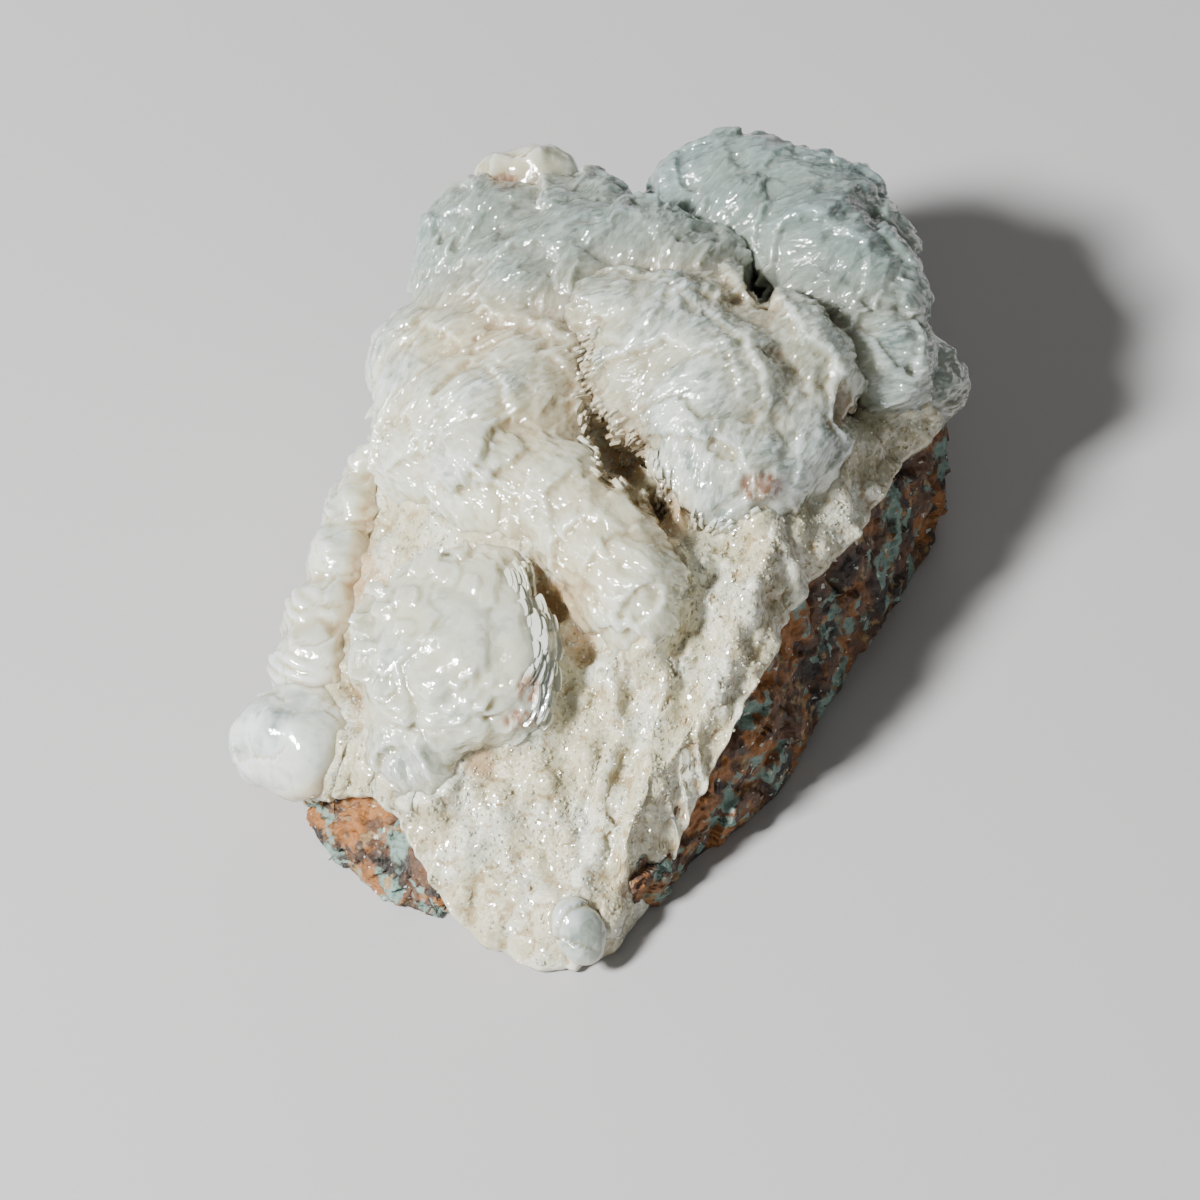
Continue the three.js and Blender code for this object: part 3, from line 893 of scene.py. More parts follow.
@dataclass
class Skin:
    """Where places lie on a mass of lobes.

    way is the outward normal. in_lobe is the place in the nearest lobe's own axes, with lobes set far apart.
    level is the mm along its stack, with the plates' waves in it. opens is the way that the lobe opens, and
    edgeways is 1 where plates are seen end on and 0 on their flat faces.
    """

    distance: np.ndarray
    way: np.ndarray
    number: np.ndarray
    in_lobe: np.ndarray
    stack: np.ndarray
    opens: np.ndarray
    level: np.ndarray
    edgeways: np.ndarray

    @classmethod
    def at(cls, points: np.ndarray, lobes: list[Lobe], blend: float, splay: float) -> "Skin":
        """Find them.

        Args:
            points: (n, 3) places in mm.
            lobes: the lobes.
            blend: how far the lobes flow into each other, in mm.
            splay: how far the plates fan out.

        Returns:
            The distance is -k log sum exp(-d/k), and the way out is the lobes' own with weights exp(-d/k).
        """
        total, way = np.zeros(len(points)), np.zeros_like(points)
        nearest, number = np.full(len(points), np.inf), np.zeros(len(points), dtype=int)
        for k, lobe in enumerate(lobes):
            local = (points - lobe.middle) @ lobe.axes.T
            m = np.linalg.norm(local / lobe.half, axis=1)
            slope = local / lobe.half**2
            g = np.maximum(np.linalg.norm(slope, axis=1), 1e-6)
            d = m * (m - 1) / g
            weight = np.exp(-np.clip(d, -20, 20) / blend)
            total += weight
            way += (slope @ lobe.axes) * (weight / g)[:, None]
            number = np.where(d < nearest, k, number)
            nearest = np.minimum(nearest, d)
        way = unit(way)
        axes = np.array([lobe.axes for lobe in lobes])[number]
        half = np.array([lobe.half for lobe in lobes])[number]
        middle = np.array([lobe.middle for lobe in lobes])[number]
        local = np.einsum("nij,nj->ni", axes, points - middle)
        out = np.linalg.norm(local[:, 1:] / half[:, 1:], axis=1)
        level = local[:, 0] * (1 - splay * (out - 0.6)) + 0.8 * soft_noise(points, 5.0, 77)
        end_on = 1 - np.abs(dot(way, axes[:, 0])) ** 3
        in_lobe = local + LOBE_SPACING * number[:, None]
        return cls(-blend * np.log(total), way, number, in_lobe, axes[:, 0], axes[:, 1], level, end_on)


@dataclass(frozen=True)
class Blades:
    """Sizes of standing blades: width as a share of the group's blades, the rest in mm."""

    width: float
    depth: float
    rise: Row
    thickness: Row


@dataclass
class Sheaves:
    """Sheaves of plates that flow into each other.

    Broad scales, terraces and the larger flakes are relief, and the finish draws the small flakes from the
    numbers in "plate" at each corner.
    """

    # meshes
    rough_voxel: float = 0.8
    voxel: float = 0.4
    smooth_voxel: float = 0.5
    blend: float = 1.4
    # relief: flatness is what a place's way along its stack is multiplied by before flakes are scattered
    splay: float = 0.25
    scale: float = 8.5
    scale_height: float = 2.6
    flake: float = 3.2
    flake_height: float = 0.5
    chip: float = 1.5
    flatness: float = 1.9
    terrace: float = 4.2
    terrace_share: float = 0.3
    # standing blades: an area in square mm for each, and how they rise, tilt and stray
    large: Blades = Blades(1.0, 3.0, (-0.25, 0.4), (0.5, 0.8))
    teeth: Blades = Blades(0.6, 1.6, (0.2, 0.8), (0.35, 0.6))
    blade_area: float = 7.0
    tooth_area: float = 0.8
    tooth_reach: float = 2.2
    rim_rise: float = 0.5
    blade_tilt: float = math.radians(8)
    blade_lift: float = math.radians(6)
    blade_stray: float = 0.09
    end_share: float = 0.45
    flat_share: float = 0.28
    # a mass's shelter, which is painted as shade: how far it reaches, and the depth at which it starts
    shelter_reach: float = 4.0
    shelter_start: float = 0.62

    # a blade's outline: across in half widths, and inwards from the tip in mm, where 1 stands for its depth
    OUTLINE_ACROSS = np.array([-0.8, 0.8, 1.0, 0.85, 0.42, -0.05, -0.5, -0.88, -1.0])
    OUTLINE_BACK = np.array([1.0, 1.0, 0.3, 0.12, 0.02, 0.0, 0.03, 0.14, 0.32])

    def onto_skin(self, made: bpy.types.Object, lobes: list[Lobe], times: int, blend: float) -> Skin:
        """Move an object's corners onto the lobes' common skin.

        Args:
            made: the object.
            lobes: the lobes.
            times: how often they are moved, by at most 1.5 mm each time.
            blend: how far the lobes flow into each other, in mm.

        Returns:
            Where the corners lie.
        """
        points = corners_of(made)
        for _ in range(times):
            skin = Skin.at(points, lobes, blend, self.splay)
            points = points - skin.way * np.clip(skin.distance, -1.5, 1.5)[:, None]
        self.move_to(made, points)
        return Skin.at(points, lobes, blend, self.splay)

    def move_to(self, made: bpy.types.Object, points: np.ndarray) -> None:
        """Put an object's corners at places in mm."""
        made.data.vertices.foreach_set("co", (points * MM).astype(np.float32).ravel())
        made.data.update()

    def terraces(self, points: np.ndarray, skin: Skin, seed: int) -> np.ndarray:
        """Give how far each place moves along its stack to make terraces with scalloped rims.

        Args:
            points: (n, 3) places.
            skin: where they lie.
            seed: which unevenness.

        Returns:
            (n,) mm, share * height * (rise(f) - f) away from the stack's middle, where f is the part of the
            way up a terrace and rise(f) a smooth step over its last third.
        """
        wander = 1.8 * soft_noise(points, 6.0, seed)
        f = np.mod((np.abs(skin.level) + wander) / self.terrace, 1.0)
        rise = np.clip((f - 0.65) / 0.35, 0, 1)
        rise = rise * rise * (3 - 2 * rise)
        return self.terrace_share * self.terrace * (rise - f + 0.3) * np.sign(skin.level)

    def scales(self, places: np.ndarray, lean: np.ndarray, size: float, seed: int) -> np.ndarray:
        """Give the height of scales that overlap: each rises the way that it leans and ends in a free rim.

        Args:
            places: (n, 3) places in mm.
            lean: (n, 3) the way that each place's scale rises, in the same axes.
            size: mean size of a scale in mm.
            seed: which scatter.

        Returns:
            (n,) about -0.5 to 0.5: the way to the scale's middle along its lean, and a height of its own.
        """
        found = grains(places, size, seed)
        round_top = 0.3 * (0.4 - found.gap**2)
        return 0.55 * dot(found.offset, lean) + 0.35 * (found.another(31.7) - 0.5) + round_top

    def relief(self, points: np.ndarray, skin: Skin, seed: int) -> np.ndarray:
        """Move places on the smooth skin out to scales and along their stacks to terraces.

        Args:
            points: (n, 3) places in mm.
            skin: where they lie.
            seed: which unevenness.

        Returns:
            (n, 3) where they come to lie.
        """
        opens = np.array([0.0, 1.0, 0.0]) + 0 * points
        plates = skin.in_lobe * (self.flatness, 1.0, 1.0)
        rough = 0.3 + 0.7 * skin.edgeways
        out = self.scale_height * rough * self.scales(points, skin.opens, self.scale, seed)
        out += self.flake_height * skin.edgeways * self.scales(plates, opens, self.flake, seed + 7)
        out += 0.4 * soft_noise(points, 3.5, seed + 3)
        out -= PIT_DEPTH * spotted(points, PITS) + GAP_DEPTH * spotted(points, CHANNEL + ARCH)
        along = self.terraces(points, skin, seed + 19)
        return points + skin.way * out[:, None] + skin.stack * along[:, None]

    def blades(self, points: np.ndarray, skin: Skin, lobes: list[Lobe], area: float, seed: int) -> Surface:
        """Make blades that stand out of a mass: end on at its rims and lifted scales on its flat faces.

        Args:
            points: (n, 3) places on the mass.
            skin: where they lie.
            lobes: its lobes.
            area: the mass's surface in square mm.
            seed: which scatter.

        Returns:
            Closed slabs.
        """
        rng = np.random.default_rng(seed)
        chosen = rng.choice(len(points), int(area / self.blade_area))
        rare = skin.edgeways[chosen] < rng.uniform(-0.1, 0.75, len(chosen))
        chosen = chosen[(above_crust(points[chosen]) > -1.0) & ~rare]
        return self.standing(points, skin, lobes, chosen, self.large, rng)

    def ends(self, points: np.ndarray, skin: Skin, lobes: list[Lobe], area: float, seed: int) -> Surface:
        """Make the teeth along the cavities' serrated rims: the ends of thin plates.

        Args:
            points: (n, 3) places on the finished mass.
            skin: where they lie.
            lobes: its lobes.
            area: the mass's surface in square mm.
            seed: which scatter.

        Returns:
            Closed slabs.
        """
        rng = np.random.default_rng(seed)
        dense = rng.choice(len(points), int(area / self.tooth_area))
        rim = distance_to_rims(points[dense]) < rng.uniform(0.0, self.tooth_reach, len(dense))
        chosen = dense[rim & (above_crust(points[dense]) > 0.5)]
        return self.standing(points, skin, lobes, chosen, self.teeth, rng)

    def standing(
        self, points: np.ndarray, skin: Skin, lobes: list[Lobe], chosen: np.ndarray, size: Blades,
        rng: np.random.Generator,
    ) -> Surface:
        """Stand blades at chosen places.

        Args:
            points: (n, 3) places on the mass.
            skin: where they lie.
            lobes: its lobes.
            chosen: numbers of the places that get a blade.
            size: the blades' sizes.
            rng: source of the unevenness.

        Returns:
            Closed slabs.
        """
        n = len(chosen)
        tip, way, face, opens = points[chosen], skin.way[chosen], skin.stack[chosen], skin.opens[chosen]
        face = face * np.sign(dot(face, way))[:, None]
        end_on = skin.edgeways[chosen] > 0.5
        flat = way - face * dot(way, face)[:, None]
        lift = np.where(end_on, rng.normal(0, self.blade_tilt, n), -self.blade_lift)
        towards = unit(np.where(end_on[:, None], flat, opens))
        face, towards = (
            face * np.cos(lift)[:, None] + towards * np.sin(lift)[:, None],
            towards * np.cos(lift)[:, None] - face * np.sin(lift)[:, None],
        )
        face = face + rng.normal(0, self.blade_stray, (n, 3))
        face = unit(face - towards * dot(face, towards)[:, None])
        across = np.cross(face, towards)
        widths = np.array([lobe.group.blades for lobe in lobes])[skin.number[chosen]]
        share = np.where(end_on, self.end_share, self.flat_share)
        width = size.width * share * rng.uniform(widths[:, 0], widths[:, 1])
        depth = size.depth * rng.uniform(0.8, 1.2, n)
        half = 0.5 * rng.uniform(*size.thickness, n)
        rim = np.clip(1 - np.abs(way @ SIGHT.near), 0, 1) ** 1.5
        tip = tip + way * (rng.uniform(*size.rise, n) + self.rim_rise * rim * end_on)[:, None]
        sideways, inwards = width[:, None] * self.OUTLINE_ACROSS, depth[:, None] * self.OUTLINE_BACK
        outlines = tip[:, None] + across[:, None] * sideways[..., None]
        outlines = outlines - towards[:, None] * inwards[..., None]
        return slabs(outlines[:, ::-1], face * half[:, None])

    def platy_mass(self, name: str, lobes: list[Lobe], seed: int) -> bpy.types.Object:
        """Make a joined mass of platy lobes.

        Args:
            name: the piece's name.
            lobes: its lobes.
            seed: which unevenness.

        Returns:
            The object, with the attributes that its finish draws flakes from.
        """
        made = remeshed(joined([self.block(lobe) for lobe in lobes]).build(name), self.rough_voxel)
        self.onto_skin(made, lobes, 3, self.blend)
        made = remeshed(made, self.voxel)
        skin = self.onto_skin(made, lobes, 2, self.blend)
        area = area_of(made)
        points = self.relief(corners_of(made), skin, seed)
        self.move_to(made, points)
        standing = self.blades(points, skin, lobes, area, seed + 29).build(f"{name}_blades")
        made = remeshed(merged(made, standing), self.voxel)
        points = corners_of(made)
        skin = Skin.at(points, lobes, self.blend, self.splay)
        plates = skin.in_lobe * (self.flatness, 1.0, 1.0)
        write_numbers(made.data, "plate", plates / self.chip)
        write_numbers(made.data, "edgeways", skin.edgeways)
        return made

    def block(self, lobe: Lobe) -> Surface:
        """Make a lobe's closed block.

        Args:
            lobe: the lobe.

        Returns:
            An ellipsoid, made squarer by the power blunt and squashed as the eye sees it.
        """
        rows, steps = 24, 40
        tall = np.linspace(math.pi, 0, rows + 1)[1:-1]
        turn = 2 * math.pi * np.arange(steps) / steps
        ball = np.stack(np.broadcast_arrays(
            np.cos(tall)[:, None], np.sin(tall)[:, None] * np.sin(turn), np.sin(tall)[:, None] * np.cos(turn)
        ), axis=-1)
        ball = np.sign(ball) * np.abs(ball) ** lobe.group.blunt
        offsets = (ball * lobe.half) @ lobe.axes
        end = lobe.axes[0] * lobe.half[0]
        for direction, share in zip((SIGHT.right, SIGHT.up), lobe.group.squash):
            offsets = offsets + ((share - 1) * (offsets @ direction))[..., None] * direction
            end = end + (share - 1) * (end @ direction) * direction
        return capped(lobe.middle + offsets, lobe.middle - end, lobe.middle + end)

    def smooth_mass(self, name: str, lobes: list[Lobe], seed: int) -> bpy.types.Object:
        """Make a joined smooth growth of lobes.

        Args:
            name: the piece's name.
            lobes: the lobes, all of one habit.
            seed: which unevenness.

        Returns:
            The object: its corners are moved by lumps, flat chips and, across a fluted row, a sine wave.
        """
        made = remeshed(joined([self.block(lobe) for lobe in lobes]).build(name), self.smooth_voxel)
        if len(lobes) > 1:
            self.onto_skin(made, lobes, 2, 0.5 * self.blend)
            made = remeshed(made, self.smooth_voxel)
        points = corners_of(made)
        if lobes[0].group.habit is Habit.FLUTED:
            along = points @ lobes[0].axes[0] + 0.7 * soft_noise(points, 3.0, seed)
            move = 0.45 * np.sin(2 * math.pi * along / 2.0) * soft_noise(points, 5.0, seed + 6)
            move += 0.5 * self.scales(points, np.array([[-0.7, 0.4, 0.4]]) + 0 * points, 5.0, seed + 1)
            move += 0.7 * soft_noise(points, 5.0, seed + 8, 2)
        else:
            move = 1.0 * soft_noise(points, 7.0, seed + 2, 2) + 0.6 * chips(points, 9.0, seed + 3)
            move += 0.35 * (len(lobes) > 1) * soft_noise(points, 2.6, seed + 5, 2)
        move += 0.1 * soft_noise(points, 1.5, seed + 4) - 0.2
        self.move_to(made, points + normals_of(made) * move[:, None])
        write_numbers(made.data, "plate", points / 5.0)
        write_numbers(made.data, "edgeways", np.zeros(len(points)))
        return made

    def mass(self, name: str, lobes: list[Lobe], others: list[Lobe], seed: int) -> bpy.types.Object:
        """Make one piece of a mass of sheaves.

        Args:
            name: the piece's name.
            lobes: the lobes that this piece shows, all of one habit.
            others: all lobes of the mass.
            seed: which unevenness.

        Returns:
            The object, with the attributes that its finish reads.
        """
        make = self.platy_mass if lobes[0].group.habit is Habit.PLATY else self.smooth_mass
        made = make(name, lobes, seed)
        self.write_tones(made, lobes, others)
        return made

    def blade_ends(
        self, name: str, mass: bpy.types.Object, lobes: list[Lobe], others: list[Lobe], seed: int
    ) -> bpy.types.Object:
        """Make the crisp blade ends that stand on a finished mass.

        Args:
            name: the piece's name.
            mass: the mass.
            lobes: the lobes that it shows.
            others: all lobes of the mass.
            seed: which scatter.

        Returns:
            The object, a piece of its own.
        """
        points = corners_of(mass)
        skin = Skin.at(points, lobes, self.blend, self.splay)
        made = self.ends(points, skin, lobes, area_of(mass), seed).build(name, smooth=False)
        points = corners_of(made)
        skin = Skin.at(points, lobes, self.blend, self.splay)
        write_numbers(made.data, "plate", skin.in_lobe * (self.flatness, 1.0, 1.0) / self.chip)
        write_numbers(made.data, "edgeways", np.zeros(len(points)))
        self.write_tones(made, lobes, others)
        return made

    def write_tones(self, made: bpy.types.Object, lobes: list[Lobe], others: list[Lobe]) -> None:
        """Write the numbers that the finish colours a piece of sheaves from.

        Args:
            made: the piece.
            lobes: the lobes that it shows.
            others: all lobes of the mass.
        """
        points = corners_of(made)
        # painted shade: crowd is high deep in the creases between lobes, and foot is high near the crust
        # where the sheaves meet it
        crowd = mass_distance(points, others, self.shelter_reach) / self.shelter_reach
        foot = np.exp(-np.clip(above_crust(points) - 0.5, 0, None) / 2.2)
        # painted shade in the deep pits, and brown stain with painted shade in the BROWN spots
        brown = 2 * spotted(points, PITS) + 0.5 * spotted(points, BROWN)
        # the row's inner side, which faces the valley: tan stain and painted shade
        if lobes[0].group.habit is Habit.FLUTED:
            brown += 1.5 * spotted(points, ROW_STAIN_AND_SHADE)
        # crevice sums painted shade and stain, which the finish paints honey and tan
        write_numbers(made.data, "crevice", 1.3 * np.clip(-crowd - self.shelter_start, 0, 2) + foot + brown)
        write_numbers(made.data, "rusty", spotted(points, RUSTY))
        warm, clear = tones(points, others).T
        write_numbers(made.data, "warm", warm)
        # clear: how glassy, and also painted shade on the upper sheaves that face away from the key lamp
        write_numbers(made.data, "clear", clear)
        write_numbers(made.data, "bulge", bulge_of(made))


def slabs(outlines: np.ndarray, apart: np.ndarray) -> Surface:
    """Make closed slabs.

    Args:
        outlines: (n, k, 3) outlines that run anticlockwise seen from the side that apart points to.
        apart: (n, 3) from each outline to its upper face, half the slab's thickness.

    Returns:
        All slabs as one surface.
    """
    n, k, _ = outlines.shape
    corners = np.concatenate([outlines + apart[:, None], outlines - apart[:, None]], axis=1).reshape(-1, 3)
    start = (2 * k * np.arange(n))[:, None]
    i = np.arange(k)
    j = (i + 1) % k
    rim = np.stack([start + j, start + i, start + k + i, start + k + j], axis=-1).reshape(-1, 4)
    return Surface(corners, [start + i, start + k + i[::-1], rim])


def joined(parts: list[Surface]) -> Surface:
    """Put surfaces into one.

    Args:
        parts: the surfaces.

    Returns:
        One surface, in which each keeps its own corners.
    """
    corners = np.concatenate([p.corners for p in parts])
    offsets = np.cumsum([0] + [len(p.corners) for p in parts[:-1]])
    faces = [f + offset for p, offset in zip(parts, offsets) for f in p.faces]
    return Surface(corners, faces)


# The crust and the rock


def grid_faces(rows: int, steps: int) -> np.ndarray:
    """Give the quads of a grid of corners that is closed around its steps.

    Args:
        rows: how many rows it has, which run upwards.
        steps: how many corners a row has.

    Returns:
        (n, 4) the quads, which face outwards.
    """
    r, c = np.meshgrid(np.arange(rows - 1), np.arange(steps), indexing="ij")
    d = (c + 1) % steps
    corners = [r * steps + c, r * steps + d, (r + 1) * steps + d, (r + 1) * steps + c]
    return np.stack(corners, axis=-1).reshape(-1, 4)


def capped(rings: np.ndarray, low: np.ndarray, high: np.ndarray) -> Surface:
    """Close a tube of rings with a point at each end.

    Args:
        rings: (rows, steps, 3) corners, rows upwards and steps anticlockwise from above.
        low: the point that closes the first ring.
        high: the point that closes the last ring.

    Returns:
        The closed surface.
    """
    rows, steps, _ = rings.shape
    corners = np.concatenate([rings.reshape(-1, 3), [low, high]])
    c = np.arange(steps)
    d = (c + 1) % steps
    last = (rows - 1) * steps
    under = np.stack([np.full(steps, rows * steps), d, c], axis=-1)
    over = np.stack([last + c, last + d, np.full(steps, rows * steps + 1)], axis=-1)
    return Surface(corners, [grid_faces(rows, steps), under, over])


def grid_normals(rings: np.ndarray) -> np.ndarray:
    """Give the outward normal at each corner of a closed grid.

    Args:
        rings: (rows, steps, 3) its corners.

    Returns:
        The unit cross products of its slopes around and upwards.
    """
    around_it = np.roll(rings, -1, axis=1) - np.roll(rings, 1, axis=1)
    upwards = np.gradient(rings, axis=0)
    normal = np.cross(around_it, upwards)
    return normal / np.maximum(np.linalg.norm(normal, axis=-1, keepdims=True), 1e-9)


@dataclass
class Crust:
    """The cream druse over the rock, with ridges down its front slope and grains all over."""

    steps: int = 620
    rows: int = 150
    shoulder: float = 7.0
    lip_drop: float = 1.6
    lip_depth: float = 4.0
    collar_height: float = 2.5
    collar_reach: float = 1.6
    floor_rise: float = 5.0
    edge_wander: float = 0.9
    wander_round: float = 24.0
    fold_height: float = 0.9
    knot_height: float = 0.9
    grain_height: float = 0.25

    def outside(self, inward: np.ndarray, share: np.ndarray) -> np.ndarray:
        """Give places on the crust's broad outside.

        Args:
            inward: (n,) or (rows, 1), from 0 at its edge to 1 at its top centre.
            share: (n,), from 0 to 1 round its edge.

        Returns:
            (n, 3) or (rows, n, 3) corners: edge and centre blended by inward, and from the edge's height to
            the form and relief by 1 - (1 - w)^2.6, where w is the way in over the shoulder.
        """
        edge = around(CRUST_EDGE, share)
        out = edge[:, :2] - TOP_CENTRE
        reach = np.linalg.norm(out, axis=1)
        angle = 2 * math.pi * share
        turn = self.wander_round * np.column_stack([np.cos(angle), np.sin(angle), 0 * share])
        wander = soft_noise(turn, 1.4, 5, 2) * self.edge_wander
        edge = edge + np.column_stack([out / reach[:, None] * wander[:, None], 0.6 * wander])
        flat = TOP_CENTRE + (edge[:, :2] - TOP_CENTRE) * (1 - inward)[..., None]
        x, y = flat[..., 0], flat[..., 1]
        rise = 1 - (1 - np.minimum(1, inward * reach / self.shoulder)) ** 2.6
        z = edge[:, 2] + (crust_form(x, y) - edge[:, 2]) * rise + rise * crust_relief(x, y)
        return np.stack([x, y, np.maximum(LEAST_HEIGHT, z)], axis=-1)

    def roughness(self, points: np.ndarray) -> np.ndarray:
        """Give how far each point stands out.

        Args:
            points: (n, 3) places in mm.

        Returns:
            (n,) mm: lumps, folds that run down the slope at the front right, knots and grains.
        """
        across = points @ np.array([0.88, -0.47, 0.2])
        along = points @ np.array([-0.47, -0.88, 0.0])
        folds = soft_noise(np.stack([across, along * 0.22, 0 * along], axis=1), 2.3, 41, 2)
        front_right = 1 / (1 + np.exp(-(points[:, 0] + 3) / 3)) / (1 + np.exp((points[:, 1] + 12) / 4))
        knots = grains(points, 3.4, 61)
        knot = np.clip(1 - (knots.gap / 0.62) ** 2, 0, 1) * (knots.number > 0.45)
        grain = np.clip(0.75 - grains(points, 1.15, 71).gap, 0, 1)
        height = 0.6 * soft_noise(points, 7.0, 21, 2) + 0.45 * soft_noise(points, 2.2, 31)
        height += self.fold_height * folds * front_right
        return height + self.knot_height * knot + self.grain_height * grain - 0.5

    def collar(self, points: np.ndarray, lobes: list[Lobe]) -> np.ndarray:
        """Give how far the crust rises beside the sheaves.

        Args:
            points: (n, 3) places in mm.
            lobes: all lobes.

        Returns:
            (n,) mm: height * exp(-d / reach), less in open places, and the rise of the channel's floor.
        """
        near = np.exp(-np.clip(mass_distance(points, lobes, 0.5) - 0.5, 0, None) / self.collar_reach)
        open_place = np.clip(1.6 * spotted(points, BROWN), 0, 0.5)
        return self.collar_height * near * (1 - open_place) + self.floor_rise * spotted(points, CHANNEL)

    def build(self, name: str, lobes: list[Lobe]) -> bpy.types.Object:
        """Make the crust.

        Args:
            name: the piece's name.
            lobes: all lobes, whose shelter is painted on it as shade.

        Returns:
            The object.
        """
        inward = np.linspace(0, 1, self.rows + 1)[:-1] ** 1.05
        share = np.arange(self.steps) / self.steps
        broad = self.outside(inward[:, None], share)
        normal = grid_normals(broad)
        flat = broad.reshape(-1, 3)
        rough = (self.roughness(flat) + self.collar(flat, lobes)).reshape(broad.shape[:2])
        rings = broad + normal * (rough * np.minimum(1, 0.25 + inward / 0.05)[:, None])[..., None]
        rings[..., 2] = np.maximum(rings[..., 2], LEAST_HEIGHT)
        edge = rings[0]
        inwards = np.column_stack([TOP_CENTRE - edge[:, :2], np.zeros(self.steps)])
        inwards = unit(inwards)
        under = []
        for depth in (self.lip_depth, 2.2, 0.7, 0.1):
            low = edge + inwards * depth
            low[:, 2] = np.maximum(LEAST_HEIGHT, edge[:, 2] - self.lip_drop * min(1.0, 0.35 + depth))
            under.append(low)
        whole = np.concatenate([np.array(under), rings])
        floor = np.array([*TOP_CENTRE, LEAST_HEIGHT])
        top = np.array([*TOP_CENTRE, rings[-1, :, 2].mean()])
        made = capped(whole, floor, top).build(name)
        points = corners_of(made)
        # painted shade near and under the sheaves, and brown stain with painted shade in the BROWN spots
        shelter = np.exp(-np.clip(mass_distance(points, lobes, 0.5), 0, None) / 3.5)
        write_numbers(made.data, "crevice", np.maximum(0.45 * shelter, 1.1 * spotted(points, BROWN)))
        write_numbers(made.data, "bulge", bulge_of(made))
        return made

    def crystals(self, name: str, count: int, lobes: list[Lobe], seed: int) -> bpy.types.Object:
        """Stand small platy crystals all over the crust.

        Args:
            name: the piece's name.
            count: how many.
            lobes: all lobes, which have none under them.
            seed: which scatter.

        Returns:
            The object.
        """
        rng = np.random.default_rng(seed)
        inward = 1 - np.sqrt(rng.uniform(0, 1, 4 * count))
        share = rng.uniform(0, 1, 4 * count)
        at = self.outside(inward, share)
        normal = np.cross(self.outside(inward, share + 0.002) - at, self.outside(inward + 0.004, share) - at)
        normal = unit(normal)
        keep = (mass_distance(at, lobes, 0.5) > 0.2) & (at[:, 2] > 2)
        at, normal = at[keep][:count], normal[keep][:count]
        at = at + normal * (self.roughness(at) + self.collar(at, lobes))[:, None]
        return small_crystals(at, normal, rng).build(name, smooth=False)


def small_crystals(at: np.ndarray, normal: np.ndarray, rng: np.random.Generator) -> Surface:
    """Make small blunt plates that stand in a surface.

    Args:
        at: (n, 3) where they stand.
        normal: (n, 3) the surface's normals.
        rng: source of the unevenness.

    Returns:
        Closed plates with a blunt point at the top.
    """
    n = len(at)
    up = unit(normal + 0.5 * rng.normal(0, 1, (n, 3)))
    side = unit(np.cross(up, rng.normal(0, 1, (n, 3))))
    width = rng.lognormal(-0.85, 0.3, n)
    tall = width * rng.uniform(0.8, 1.3, n)
    thick = 0.5 * width * rng.uniform(0.3, 0.6, n)
    across = np.array([-0.8, 0.8, 1.0, 0.2, -1.0])
    upward = np.array([-1.0, -1.0, 0.4, 1.0, 0.5])
    outlines = (
        at[:, None, :]
        + side[:, None, :] * (0.5 * width[:, None] * across)[..., None]
        + up[:, None, :] * (0.5 * tall[:, None] * upward)[..., None]
    )
    return slabs(outlines, np.cross(side, up) * thick[:, None])


@dataclass
class Rock:
    """The broken basalt under the crust: flat below, chipped and pitted round its wall."""

    steps: int = 560
    rows: int = 72
    base_bevel: float = 1.4
    crust_thickness: float = 3.0
    least_rim_inset: float = 0.04

    def top_edge(self, crust: Crust, share: np.ndarray) -> np.ndarray:
        """Give the wall's upper edge.

        Args:
            crust: the crust over it.
            share: (n,), from 0 to 1 round it.

        Returns:
            (n, 3) corners under the crust's.
        """
        rim = np.linalg.norm(around(CRUST_EDGE, share)[:, :2] - TOP_CENTRE, axis=1)
        foot = np.linalg.norm(around(ROCK_EDGE, share) - TOP_CENTRE, axis=1)
        edge = crust.outside(np.maximum(self.least_rim_inset, 1 - 0.98 * foot / rim), share)
        edge[:, 2] = np.maximum(LEAST_HEIGHT + 1, edge[:, 2] - self.crust_thickness)
        return edge

    def build(self, name: str, crust: Crust) -> bpy.types.Object:
        """Make the rock.

        Args:
            name: the piece's name.
            crust: the crust over it.

        Returns:
            The object, whose wall runs from the foot to the top edge with a bulge, chips and pits.
        """
        share = np.arange(self.steps) / self.steps
        foot = np.column_stack([around(ROCK_EDGE, share), np.zeros(self.steps)])
        top = self.top_edge(crust, share)
        level = np.linspace(0, 1, self.rows)[:, None, None]
        out = foot / np.linalg.norm(foot, axis=1)[:, None]
        bulge = 1.1 * np.sin(math.pi * level) - self.base_bevel * np.exp(-level * 24 / 1.2)
        wall = foot * (1 - level) + top * level + out * bulge
        flat = wall.reshape(-1, 3)
        rough = 1.5 * chips(flat, 9.0, 3) + 0.9 * chips(flat, 4.2, 7) + 0.35 * chips(flat, 1.9, 9)
        pits = grains(flat, 2.6, 13)
        rough -= 0.7 * np.clip(1 - pits.gap / 0.32, 0, 1) * (pits.number > 0.6)
        rough = (rough + 0.15 * soft_noise(flat, 0.9, 15)).reshape(wall.shape[:2])
        inside = np.minimum(1, (1 - level[..., 0]) * 6)
        move = (rough - 0.4) * np.minimum(1, level[..., 0] * 9 + 0.25) * inside
        wall = wall + grid_normals(wall) * move[..., None]
        wall[..., 2] = np.maximum(wall[..., 2], 0.0)
        wall[0, :, 2] = 0.0
        centre = np.array([*TOP_CENTRE, PLATEAU_HEIGHT - 11.0])
        over = wall[-1] * 0.5 + centre * 0.5
        over[:, 2] = np.minimum(wall[-1, :, 2], centre[2])
        return capped(np.concatenate([wall, over[None]]), np.zeros(3), centre).build(name)


# Finishes


